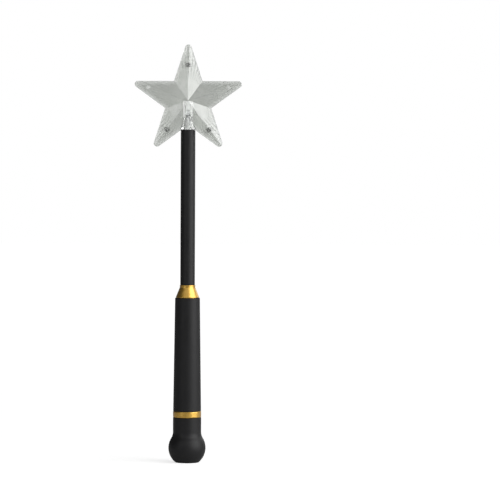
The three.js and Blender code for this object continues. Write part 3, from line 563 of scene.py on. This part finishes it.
def clear_plastic():
    """Polished clear moulding with a grey tint. In front of the neck, at the pegs and at the outline it is
    painted lighter as light, and its refractive index is lower there.
    """
    material, tree, shader, place = start_material("clear_plastic", GREY_TINT, 0.05)
    shader.inputs["Transmission Weight"].default_value = 1.0
    shader.inputs["Coat Weight"].default_value = 1.0
    shader.inputs["Coat IOR"].default_value = MAIN_INDEX
    shader.inputs["Coat Roughness"].default_value = 0.12
    grey_share = grey_tint_share(tree, place)
    # painted light: the tint is lighter in front of the neck, at the pegs and at the outline
    vary_colour(tree, shader, grey_share, PAINTED_LIGHT_TINT, GREY_TINT, WHOLE_BAND)
    vary_input(tree, shader, "IOR", grey_share, LOW_INDEX, MAIN_INDEX, WHOLE_BAND)
    vary_roughness(tree, shader, add_noise(tree, place, scale=90, detail=4), 0.03, 0.07)
    return material


def clear_stem():
    """Milky clear moulding of the neck and of the lamp's plug."""
    material, tree, shader, place = start_material("clear_stem", (0.93, 0.94, 0.93), 0.1)
    shader.inputs["Transmission Weight"].default_value = 0.97
    shader.inputs["IOR"].default_value = 1.49
    vary_roughness(tree, shader, add_noise(tree, place, scale=300, detail=3), 0.04, 0.1)
    return material


def lamp_lens():
    material, tree, shader, place = start_material("lamp_lens", (0.95, 0.96, 0.97), 0.08)
    shader.inputs["Transmission Weight"].default_value = 0.9
    shader.inputs["IOR"].default_value = 1.53
    vary_roughness(tree, shader, add_noise(tree, place, scale=700, detail=3), 0.05, 0.14)
    return material


def plated_steel():
    material, tree, shader, place = start_material("plated_steel", (0.56, 0.56, 0.57), 0.28, metallic=1.0)
    scuffs = add_noise(tree, place, scale=900, detail=4)
    vary_colour(tree, shader, scuffs, (0.48, 0.48, 0.49), (0.62, 0.62, 0.63))
    vary_roughness(tree, shader, scuffs, 0.2, 0.38)
    return material


def contact_brass():
    material, tree, shader, place = start_material("contact_brass", (0.70, 0.55, 0.28), 0.3, metallic=1.0)
    rolled = add_noise(tree, place, scale=1, detail=3, stretch=(3000, 3000, 80))
    vary_colour(tree, shader, rolled, (0.66, 0.51, 0.25), (0.74, 0.60, 0.32))
    vary_roughness(tree, shader, rolled, 0.24, 0.38)
    return material


def cell_wrap():
    material, tree, shader, place = start_material("cell_wrap", (0.10, 0.14, 0.19), 0.3)
    film = add_noise(tree, place, scale=400, detail=3, stretch=(1, 1, 0.2))
    vary_colour(tree, shader, film, (0.09, 0.125, 0.17), (0.115, 0.155, 0.21))
    vary_roughness(tree, shader, film, 0.24, 0.36)
    return material


def solder_mask():
    material, tree, shader, place = start_material("solder_mask", (0.02, 0.11, 0.045), 0.4)
    tracks = add_noise(tree, place, scale=1, detail=1, stretch=(1500, 1500, 300))
    vary_colour(tree, shader, tracks, (0.015, 0.09, 0.035), (0.03, 0.15, 0.06), TRACK_BAND)
    vary_roughness(tree, shader, tracks, 0.35, 0.45)
    return material


def moulded(name, dark, light, roughness):
    """A small plain moulding or insulation, with a slight grain."""
    material, tree, shader, place = start_material(name, dark, roughness)
    grain = add_noise(tree, place, scale=1200, detail=3)
    vary_colour(tree, shader, grain, dark, light)
    vary_roughness(tree, shader, grain, roughness - SMOOTHER, roughness + ROUGHER)
    return material


black = soft_black()
gold = satin_gold()
clear = clear_plastic()
stem = clear_stem()
lens = lamp_lens()
steel = plated_steel()
brass = contact_brass()
wrap = cell_wrap()
green = solder_mask()
package = moulded("package_black", (0.02, 0.02, 0.021), (0.03, 0.03, 0.032), 0.5)
white = moulded("white_plastic", (0.74, 0.74, 0.72), (0.80, 0.80, 0.78), 0.45)
red_skin = moulded("red_insulation", (0.40, 0.015, 0.015), (0.46, 0.02, 0.02), 0.4)
black_skin = moulded("black_insulation", (0.015, 0.015, 0.015), (0.022, 0.022, 0.022), 0.4)
rubber = button_rubber()


# Handle and pommel
def pommel():
    ball_height = math.sqrt(BALL_RADIUS**2 - FOOT_RADIUS**2)
    fillet_radius = RING_RADIUS + POMMEL_FILLET
    fillet_rise = math.sqrt((BALL_RADIUS + POMMEL_FILLET) ** 2 - fillet_radius**2)
    foot_angle = math.atan2(-ball_height, FOOT_RADIUS)
    meet_angle = math.atan2(fillet_rise, fillet_radius)
    ball = arc((0, ball_height), BALL_RADIUS, foot_angle, meet_angle)
    fillet_middle = (fillet_radius, ball_height + fillet_rise)
    fillet = arc(fillet_middle, POMMEL_FILLET, meet_angle + math.pi, math.pi)
    shelf = CUP_TOP - CUP_PROUD
    cup_room = CUP_RADIUS + SEAT_GAP
    outline = [
        (0, 0),
        (FOOT_RADIUS, 0, EDGE),
        *ball[1:],
        *fillet[1:],
        (RING_RADIUS, POMMEL_TOP, EDGE),
        (CAP_BORE, POMMEL_TOP, FINE_EDGE),
        (CAP_BORE, shelf),
        (cup_room, shelf),
        (cup_room, FOOT_THICKNESS),
        (0, FOOT_THICKNESS),
    ]
    piece = revolved("pommel_cap_fine", outline)
    fuse(piece, thread_ridge(CAP_BORE, SPIGOT_RADIUS + THREAD_GAP, THREAD_START + THREAD_LEAD / 2))
    dress(piece, "pommel", "black_plastic", black, "pommel_cap")


def ring():
    bore = THREAD_CREST + SEAT_GAP
    outline = [
        (bore, RING_BOTTOM),
        (RING_RADIUS, RING_BOTTOM, RING_EDGE),
        (RING_RADIUS, RING_TOP, RING_EDGE),
        (bore, RING_TOP),
    ]
    dress(revolved("gold_ring_fine", outline), "handle", "gold", gold, "gold_ring")


def grip():
    outline = [
        (CELL_BORE, SPIGOT_BOTTOM),
        (SPIGOT_RADIUS, SPIGOT_BOTTOM, FINE_EDGE),
        (SPIGOT_RADIUS, POMMEL_TOP),
        (THREAD_CREST, POMMEL_TOP),
        (THREAD_CREST, GRIP_BOTTOM),
        (GRIP_BASE_RADIUS, GRIP_BOTTOM, FINE_EDGE),
        (GRIP_TOP_RADIUS, GRIP_TOP, EDGE),
        (CHAMBER_RADIUS, GRIP_TOP),
        (CHAMBER_RADIUS, CHAMBER_FLOOR),
        (CELL_BORE, CHAMBER_FLOOR),
    ]
    piece = revolved("grip_sleeve_fine", outline)
    fuse(piece, thread_ridge(SPIGOT_RADIUS, THREAD_CREST, THREAD_START))
    half = STRIP_CHANNEL_WIDTH / 2
    channel_low = (-half, -STRIP_CHANNEL_DEPTH, SPIGOT_BOTTOM - CUT_MARGIN)
    cut(piece, block(channel_low, (half, 0, CHAMBER_FLOOR + CUT_MARGIN)))
    button_low, button_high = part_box("push_button")
    middle = (button_low.z + button_high.z) / 2
    cut(piece, bar(BUTTON_RADIUS + SEAT_GAP, 0, GRIP_BASE_RADIUS + CUT_MARGIN, along_y(0, middle)))
    dress(piece, "handle", "black_plastic", black, "grip_sleeve")


def button():
    low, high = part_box("push_button")
    middle = (low.z + high.z) / 2
    flange_face = low.y + BUTTON_FLANGE_THICKNESS
    outline = [
        (0, low.y),
        (high.x, low.y, FINE_EDGE),
        (high.x, flange_face, FINE_EDGE),
        (BUTTON_RADIUS, flange_face),
        (BUTTON_RADIUS, high.y, BUTTON_EDGE),
        (BUTTON_RADIUS / 2, high.y - BUTTON_DISH / 2, BUTTON_EDGE),
        (0, high.y - BUTTON_DISH),
    ]
    piece = revolved("push_button_fine", outline, SMALL_SIDES, along_y(0, middle))
    dress(piece, "button", "button_rubber", rubber, "push_button")


def ferrule():
    bore = SHAFT_END_RADIUS + SEAT_GAP
    lip = SHAFT_RADIUS + LIP_PROUD
    plug = CHAMBER_RADIUS - SEAT_GAP
    outline = [
        (SHAFT_BORE, PLUG_BOTTOM),
        (plug, PLUG_BOTTOM, FINE_EDGE),
        (plug, FERRULE_BOTTOM),
        (GRIP_TOP_RADIUS - FERRULE_STEP, FERRULE_BOTTOM, FERRULE_EDGE),
        (lip, FERRULE_TOP - LIP_HEIGHT, EDGE),
        (lip, FERRULE_TOP, FINE_EDGE),
        (bore, FERRULE_TOP),
        (bore, PLUG_BOTTOM + PLUG_FLOOR),
        (SHAFT_BORE, PLUG_BOTTOM + PLUG_FLOOR),
    ]
    dress(revolved("ferrule_fine", outline), "handle", "gold", gold, "ferrule")


def shaft():
    shoulder = FERRULE_TOP + SEAT_GAP
    outline = [
        (SHAFT_BORE, SHAFT_BOTTOM),
        (SHAFT_END_RADIUS, SHAFT_BOTTOM, FINE_EDGE),
        (SHAFT_END_RADIUS, shoulder),
        (SHAFT_RADIUS, shoulder, FINE_EDGE),
        (SHAFT_RADIUS, SHAFT_TOP, FINE_EDGE),
        (SHAFT_BORE, SHAFT_TOP),
    ]
    dress(revolved("shaft_tube_fine", outline), "handle", "black_plastic", black, "shaft_tube")


# Star, neck and lamp
def neck_outside(grow, edge=()):
    """The neck's outside above its flange, grown by a clearance for the star's seat."""
    barb_bottom = FLANGE_TOP + BARB_RISE
    tube = NECK_RADIUS + grow
    barb = tube + BARB_PROUD
    return [
        (tube, barb_bottom - grow),
        (barb, barb_bottom - grow, *edge),
        (barb, barb_bottom + BARB_HEIGHT + grow, *edge),
        (tube, barb_bottom + BARB_HEIGHT + grow),
        (tube, NECK_TOP + grow, *edge),
    ]


def neck():
    wide = LED_FLANGE_RADIUS + SEAT_GAP
    narrow = LED_RADIUS + SEAT_GAP
    ledge = LED_BOTTOM + LED_FLANGE_HEIGHT + SEAT_GAP
    outline = [
        (wide, NECK_BOTTOM),
        (SHAFT_BORE - SEAT_GAP, NECK_BOTTOM),
        (SHAFT_BORE - SEAT_GAP, FLANGE_BOTTOM),
        (SHAFT_RADIUS, FLANGE_BOTTOM, FINE_EDGE),
        (SHAFT_RADIUS, FLANGE_TOP, FINE_EDGE),
        (NECK_RADIUS, FLANGE_TOP),
        *neck_outside(0, (FINE_EDGE,)),
        (narrow, NECK_TOP, FINE_EDGE),
        (narrow, ledge),
        (wide, ledge),
    ]
    piece = revolved("star_neck_fine", outline, 2 * SMALL_SIDES)
    dress(piece, "handle", "clear_plastic", stem, "star_neck")


def lamp():
    """A clear lens with the metal frame of its leads inside."""
    flange_face = LED_BOTTOM + LED_FLANGE_HEIGHT
    dome = arc((0, LED_TOP - LED_RADIUS), LED_RADIUS, 0, math.pi / 2)
    outline = [
        (0, LED_BOTTOM),
        (LED_FLANGE_RADIUS, LED_BOTTOM, FINE_EDGE),
        (LED_FLANGE_RADIUS, flange_face, FINE_EDGE),
        (LED_RADIUS, flange_face),
        *dome[:-1],
        (0, LED_TOP),
    ]
    piece = revolved("star_led_lens", outline, SMALL_SIDES)
    dress(piece, "handle", "lamp", lens, "star_led")
    lead(1, "star_led_post", LED_BOTTOM + POST_RISE, POST_HALF)
    lead(-1, "star_led_anvil", LED_BOTTOM + ANVIL_RISE, ANVIL_HALF)


def lead(side, name, top, end_half):
    """One lead of the lamp, widening into the frame inside the lens."""
    middle = side * LEAD_SPACING / 2
    half = LEAD_WIDTH / 2
    inner = LED_BOTTOM + LED_FLANGE_HEIGHT
    piece = block((middle - half, -half, LEAD_BOTTOM), (middle + half, half, inner + half))
    end_middle = middle - side * end_half / 2
    fuse(piece, block((end_middle - end_half, -half, inner), (end_middle + end_half, half, top)))
    piece.name = name
    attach(piece, "handle")
    piece.data.materials.append(steel)


def outline_radius(from_arm, inset):
    """The distance from the star's middle to its outline with rounded tips, drawn in by an inset."""
    tip_middle = STAR_RADIUS - STAR_TIP_RADIUS
    tip = STAR_TIP_RADIUS - inset
    tangent = math.atan2(tip * math.sin(EDGE_TURN), tip_middle + tip * math.cos(EDGE_TURN))
    if from_arm < tangent:
        side = tip_middle * math.sin(from_arm)
        return tip_middle * math.cos(from_arm) + math.sqrt(tip**2 - side**2)
    return (EDGE_DISTANCE - inset) / math.cos(EDGE_TURN - from_arm)


def facet_angles():
    """Angles from an arm's axis to the next notch, with the place in its flute from 0 to 1."""
    flute_angle = ARM_STEP / 2 / FLUTES_PER_FACET
    angles = []
    for flute in range(FLUTES_PER_FACET):
        steps = TIP_FLUTE_STEPS if flute == 0 else FLUTE_STEPS
        angles.extend(((flute + step / steps) * flute_angle, step / steps) for step in range(steps))
    angles.append((ARM_STEP / 2, 0))
    return angles


def star_directions():
    """(angle round the star, angle from the nearest arm, place in the flute), once round."""
    facet = facet_angles()
    directions = []
    for arm in range(STAR_ARMS):
        along = math.pi / 2 + arm * ARM_STEP
        directions.extend((along + a, a, share) for a, share in facet)
        directions.extend((along + ARM_STEP - a, a, share) for a, share in reversed(facet[1:-1]))
    return directions


def star_section(from_arm, flute_share):
    """One radial section of a half, as (distance, height) points from its peak round to its inside."""
    sharp_edge = EDGE_DISTANCE / math.cos(EDGE_TURN - from_arm)
    fall = (STAR_DEPTH - STAR_RIM) / sharp_edge
    crest = FLUTE_HEIGHT * math.sin(math.pi * flute_share)
    edge = outline_radius(from_arm, 0)
    inner_edge = outline_radius(from_arm, STAR_WALL)
    slope = math.atan2(STAR_DEPTH - STAR_RIM, EDGE_DISTANCE)
    inner_peak = STAR_DEPTH - STAR_WALL / math.cos(slope)
    parting = PARTING_GAP / 2

    def outside(distance):
        rise = max(distance - FLUTE_START, 0) / (sharp_edge - FLUTE_START)
        return STAR_DEPTH - fall * distance + crest * math.sqrt(rise)

    plain = [FLUTE_START * row / PLAIN_ROWS for row in range(1, PLAIN_ROWS + 1)]
    last = edge - EDGE
    fluted = [FLUTE_START + (last - FLUTE_START) * row / FLUTE_ROWS for row in range(1, FLUTE_ROWS)]
    top = [(d, outside(d)) for d in plain + fluted]
    run = edge - CORNER_RUN * EDGE
    bend = corner((run, outside(run)), (edge, outside(edge)), (edge, 0), EDGE)
    foot = corner((edge, CORNER_RUN * FINE_EDGE), (edge, parting), (inner_edge, parting), FINE_EDGE)
    inner_top = inner_peak - fall * inner_edge
    wall = [(inner_edge, parting + (inner_top - parting) * row / WALL_ROWS) for row in range(WALL_ROWS + 1)]
    under = [inner_edge * row / WALL_ROWS for row in range(WALL_ROWS - 1, 0, -1)]
    roof = [(d, inner_peak - fall * d) for d in under]
    return [*top, *bend, *foot, *wall, *roof], inner_peak


def star_shell(name, outward):
    """The hollow form of one half, whose face looks to -Y where outward is -1 and to +Y where it is 1."""
    directions = star_directions()
    points = [(0, outward * STAR_DEPTH, STAR_MIDDLE)]
    sections = []
    for angle, from_arm, share in directions:
        section, inner_peak = star_section(from_arm, share)
        sections.append(range(len(points), len(points) + len(section)))
        x, z = math.cos(angle), math.sin(angle)
        points.extend((-outward * d * x, outward * h, STAR_MIDDLE + d * z) for d, h in section)
    points.append((0, outward * inner_peak, STAR_MIDDLE))
    inner_pole = len(points) - 1
    faces = []
    for place, here in enumerate(sections):
        beside = sections[(place + 1) % len(sections)]
        faces.append((0, here[0], beside[0]))
        for row in range(len(here) - 1):
            faces.append((here[row], here[row + 1], beside[row + 1], beside[row]))
        faces.append((here[-1], inner_pole, beside[-1]))
    return make_object(name, points, faces, STAR_SHARP_ANGLE)


def screw_places():
    """The middle of each screw, as (x, z)."""
    places = []
    for number in range(1, SCREWS + 1):
        low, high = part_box(f"star_screw_{number}")
        places.append(((low.x + high.x) / 2, (low.z + high.z) / 2))
    return places


def star_half(node, outward, screw_hole, peg_hole):
    """One half of the star with its bosses and half of the sleeve that clamps the neck."""
    piece = star_shell(node + "_fine", outward)
    sleeve_bottom = FLANGE_TOP + SEAT_GAP
    sleeve_top_radius = NECK_RADIUS + SEAT_GAP + SLEEVE_WALL
    sleeve_base_radius = sleeve_top_radius + BARB_PROUD
    sleeve_drop = NOTCH_RADIUS * (STAR_DEPTH - sleeve_top_radius) / (STAR_DEPTH - STAR_RIM)
    sleeve_outline = [
        (0, sleeve_bottom),
        (sleeve_base_radius, sleeve_bottom, FINE_EDGE),
        (sleeve_base_radius, SLEEVE_STEP),
        (sleeve_top_radius, STAR_MIDDLE - sleeve_drop),
        (0, STAR_MIDDLE - sleeve_drop),
    ]
    sleeve = revolved("sleeve", sleeve_outline, SMALL_SIDES)
    sides = sorted((outward * PARTING_GAP / 2, outward * STAR_DEPTH))
    reach = STAR_RADIUS
    keep_common(sleeve, block((-reach, sides[0], 0), (reach, sides[1], STAR_TOP)))
    fuse(piece, sleeve, STAR_SHARP_ANGLE)
    for x, z in screw_places():
        boss = bar(screw_hole + BOSS_WALL, PARTING_GAP / 2, SCREW_BOSS_TOP, along_y(x, z, outward))
        fuse(piece, boss, STAR_SHARP_ANGLE)
    for x, z in peg_places():
        boss = bar(peg_hole + BOSS_WALL, PARTING_GAP / 2, PEG_BOSS_TOP, along_y(x, z, outward))
        fuse(piece, boss, STAR_SHARP_ANGLE)
    shaft_room = SHAFT_RADIUS + SEAT_GAP
    room_outline = [
        (0, SHAFT_TOP - NOTCH_RADIUS),
        (shaft_room, SHAFT_TOP - NOTCH_RADIUS),
        (shaft_room, sleeve_bottom),
        (NECK_RADIUS + SEAT_GAP, sleeve_bottom),
        *neck_outside(SEAT_GAP),
        (0, NECK_TOP + SEAT_GAP),
    ]
    cut(piece, revolved("neck_room", room_outline, SMALL_SIDES), STAR_SHARP_ANGLE)
    return piece


def star_front():
    hole = SCREW_RADIUS + SEAT_GAP
    piece = star_half("star_front", -1, hole, PEG_RADIUS)
    for x, z in screw_places():
        depth = SCREW_LENGTH - SCREW_SEAT
        cut(piece, bar(hole, -CUT_MARGIN, depth, along_y(x, z, -1)), STAR_SHARP_ANGLE)
    for x, z in peg_places():
        fuse(piece, bar(PEG_RADIUS, -PEG_LENGTH, PARTING_GAP, along_y(x, z, -1)), STAR_SHARP_ANGLE)
    dress(piece, "handle", "clear_plastic", clear, "star_front")


def star_back():
    hole = SCREW_RADIUS + SEAT_GAP
    well = SCREW_HEAD_RADIUS + SEAT_GAP
    socket = PEG_RADIUS + SEAT_GAP
    piece = star_half("star_back", 1, well, socket)
    for x, z in screw_places():
        cut(piece, bar(hole, -CUT_MARGIN, STAR_DEPTH, along_y(x, z)), STAR_SHARP_ANGLE)
        cut(piece, bar(well, SCREW_SEAT, STAR_DEPTH + CUT_MARGIN, along_y(x, z)), STAR_SHARP_ANGLE)
    for x, z in peg_places():
        cut(piece, bar(socket, -CUT_MARGIN, PEG_LENGTH + SEAT_GAP, along_y(x, z)), STAR_SHARP_ANGLE)
    dress(piece, "handle", "clear_plastic", clear, "star_back")


def screw(number, x, z):
    """A screw with its head towards +Y, a cross recess and a turned thread."""
    seat = SCREW_SEAT + SEAT_GAP
    head_face = seat + SCREW_HEAD_HEIGHT
    tip = seat - SCREW_LENGTH
    threads = []
    height = tip + SCREW_RADIUS
    while height + SCREW_PITCH < seat:
        threads.append((SCREW_RADIUS, height))
        threads.append((SCREW_RADIUS * SCREW_ROOT_SHARE, height + SCREW_PITCH / 2))
        height += SCREW_PITCH
    outline = [
        (0, tip),
        *threads,
        (SCREW_RADIUS * SCREW_NECK_SHARE, seat),
        (SCREW_HEAD_RADIUS, seat, FINE_EDGE),
        (SCREW_HEAD_RADIUS, head_face, SCREW_HEAD_EDGE),
        (0, head_face),
    ]
    piece = revolved(f"star_screw_{number}_fine", outline, SMALL_SIDES, along_y(x, z))
    for wide, tall in ((CROSS_LENGTH, CROSS_WIDTH), (CROSS_WIDTH, CROSS_LENGTH)):
        low = (x - wide / 2, head_face - CROSS_DEPTH, z - tall / 2)
        cut(piece, block(low, (x + wide / 2, head_face + CUT_MARGIN, z + tall / 2)))
    dress(piece, "handle", "steel", steel, f"star_screw_{number}")


# Nodes that stay as they are and get a finish
KEPT_NODES = {
    "contact_cup": brass,
    "battery_spring": steel,
    "battery_lower": wrap,
    "battery_upper": wrap,
    "positive_contact": brass,
    "ground_strip": brass,
    "board_carrier": white,
    "control_board": green,
    "controller_chip": package,
    "radio_can": steel,
    "switch_body": package,
    "switch_plunger": white,
    "led_wire_red": red_skin,
    "led_wire_black": black_skin,
    "led_plug": stem,
}


def finish_kept_nodes():
    for node, material in KEPT_NODES.items():
        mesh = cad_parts[node].data
        mesh.materials.clear()
        mesh.materials.append(material)


# Studio
CAMERA_PLACE = Vector((0.0622, -3.2, 0.3337))
CAMERA_TARGET = Vector((0.0622, 0, 0.2127))
CAMERA_LENS = 231.0
CAMERA_SENSOR = 36.0
CAMERA_REACH = 50.0
CAMERA_ROLL = math.radians(0.25)
WHITE = (1, 1, 1, 1)
FLOOR_HALF = 6.0
FLOOR_COLOUR = (0.6, 0.6, 0.6, 1)
FLOOR_GLOW = 0.92  # far from the wand, where the lamps hardly reach
FLOOR_NEAR_SHARE = 0.76  # share of that glow round the wand, which leaves its shadow to be seen
FLOOR_NEAR = 0.2  # from the wand, where the glow starts to grow
FLOOR_FAR = 2.5  # where it is full
ROOM_STRENGTH = 0.18
REFLECTED_SHARE = 0.06  # of the white surroundings in a reflection
AIM_HEIGHT = 0.25  # on the wand, where the lights point


def seen_directly(tree):
    """1 for what is seen by the camera, also through clear plastic, and a share in a reflection."""
    rays = tree.nodes.new("ShaderNodeLightPath").outputs
    share = join_values(tree, "MULTIPLY", rays["Is Glossy Ray"], REFLECTED_SHARE)
    for name in ("Is Camera Ray", "Is Transmission Ray"):
        share = join_values(tree, "MAXIMUM", share, rays[name])
    return share


def white_room():
    world = bpy.data.worlds.new("white_room")
    bpy.context.scene.world = world
    world.use_nodes = True
    tree = world.node_tree
    tree.nodes.clear()
    backdrop = tree.nodes.new("ShaderNodeBackground")
    backdrop.inputs["Color"].default_value = WHITE
    fill = tree.nodes.new("ShaderNodeBackground")
    fill.inputs["Color"].default_value = WHITE
    fill.inputs["Strength"].default_value = ROOM_STRENGTH
    mix = tree.nodes.new("ShaderNodeMixShader")
    output = tree.nodes.new("ShaderNodeOutputWorld")
    strength = seen_directly(tree)
    seen = join_values(tree, "CEIL", strength)
    tree.links.new(strength, backdrop.inputs["Strength"])
    tree.links.new(seen, mix.inputs["Fac"])
    tree.links.new(fill.outputs["Background"], mix.inputs[1])
    tree.links.new(backdrop.outputs["Background"], mix.inputs[2])
    tree.links.new(mix.outputs["Shader"], output.inputs["Surface"])


def floor():
    """A white floor that keeps the wand's shadow: it glows less near the wand, where the lamps light it."""
    half = FLOOR_HALF
    corners = [(-half, -half, 0), (half, -half, 0), (half, half, 0), (-half, half, 0)]
    piece = make_object("floor", corners, [(0, 1, 2, 3)])
    material = bpy.data.materials.new("white_floor")
    material.use_nodes = True
    tree = material.node_tree
    tree.nodes.clear()
    paint = tree.nodes.new("ShaderNodeBsdfDiffuse")
    paint.inputs["Color"].default_value = FLOOR_COLOUR
    glow = tree.nodes.new("ShaderNodeEmission")
    distance = tree.nodes.new("ShaderNodeVectorMath")
    distance.operation = "LENGTH"
    tree.links.new(tree.nodes.new("ShaderNodeNewGeometry").outputs["Position"], distance.inputs[0])
    share = fade(tree, distance.outputs["Value"], FLOOR_NEAR, FLOOR_FAR, FLOOR_NEAR_SHARE)
    seen = join_values(tree, "MULTIPLY", seen_directly(tree), share)
    strength = join_values(tree, "MULTIPLY", seen, FLOOR_GLOW)
    both = tree.nodes.new("ShaderNodeAddShader")
    output = tree.nodes.new("ShaderNodeOutputMaterial")
    tree.links.new(strength, glow.inputs["Strength"])
    tree.links.new(paint.outputs["BSDF"], both.inputs[0])
    tree.links.new(glow.outputs["Emission"], both.inputs[1])
    tree.links.new(both.outputs["Shader"], output.inputs["Surface"])
    piece.data.materials.append(material)


def softbox(name, azimuth, height, distance, width, tall, radiance):
    """A rectangular soft light of an even radiance that faces the wand.

    It stands at a distance from the wand's axis, azimuth degrees to the right of the camera.
    """
    data = bpy.data.lights.new(name, "AREA")
    data.shape = "RECTANGLE"
    data.size = width
    data.size_y = tall
    data.energy = radiance * math.pi * width * tall
    lamp_object = bpy.data.objects.new(name, data)
    turn = math.radians(azimuth)
    lamp_object.location = (distance * math.sin(turn), -distance * math.cos(turn), height)
    towards = Vector((0, 0, AIM_HEIGHT)) - lamp_object.location
    lamp_object.rotation_euler = towards.to_track_quat("-Z", "Y").to_euler()
    bpy.context.scene.collection.objects.link(lamp_object)


def camera():
    data = bpy.data.cameras.new("camera")
    data.sensor_fit = "HORIZONTAL"
    data.sensor_width = CAMERA_SENSOR
    data.lens = CAMERA_LENS
    data.clip_end = CAMERA_REACH
    piece = bpy.data.objects.new("camera", data)
    piece.location = CAMERA_PLACE
    level = (CAMERA_TARGET - CAMERA_PLACE).to_track_quat("-Z", "Y")
    piece.rotation_euler = (level @ Quaternion((0, 0, 1), CAMERA_ROLL)).to_euler()
    bpy.context.scene.collection.objects.link(piece)
    bpy.context.scene.camera = piece


camera()
pommel()
ring()
grip()
button()
ferrule()
shaft()
neck()
lamp()
star_front()
star_back()
for number, (x, z) in enumerate(screw_places(), start=1):
    screw(number, x, z)
finish_kept_nodes()
white_room()
floor()
softbox("softbox_right", azimuth=63, height=0.8, distance=1.5, width=1.85, tall=1.6, radiance=3.0)
softbox("softbox_left", azimuth=-42, height=0.6, distance=1.5, width=0.5, tall=1.0, radiance=1.2)
softbox("softbox_front", azimuth=-7, height=1.6, distance=2.2, width=2.4, tall=1.6, radiance=0.6)
softbox("softbox_back", azimuth=140, height=0.8, distance=1.6, width=1.0, tall=1.2, radiance=1.2)
bpy.context.scene.view_settings.view_transform = "Standard"
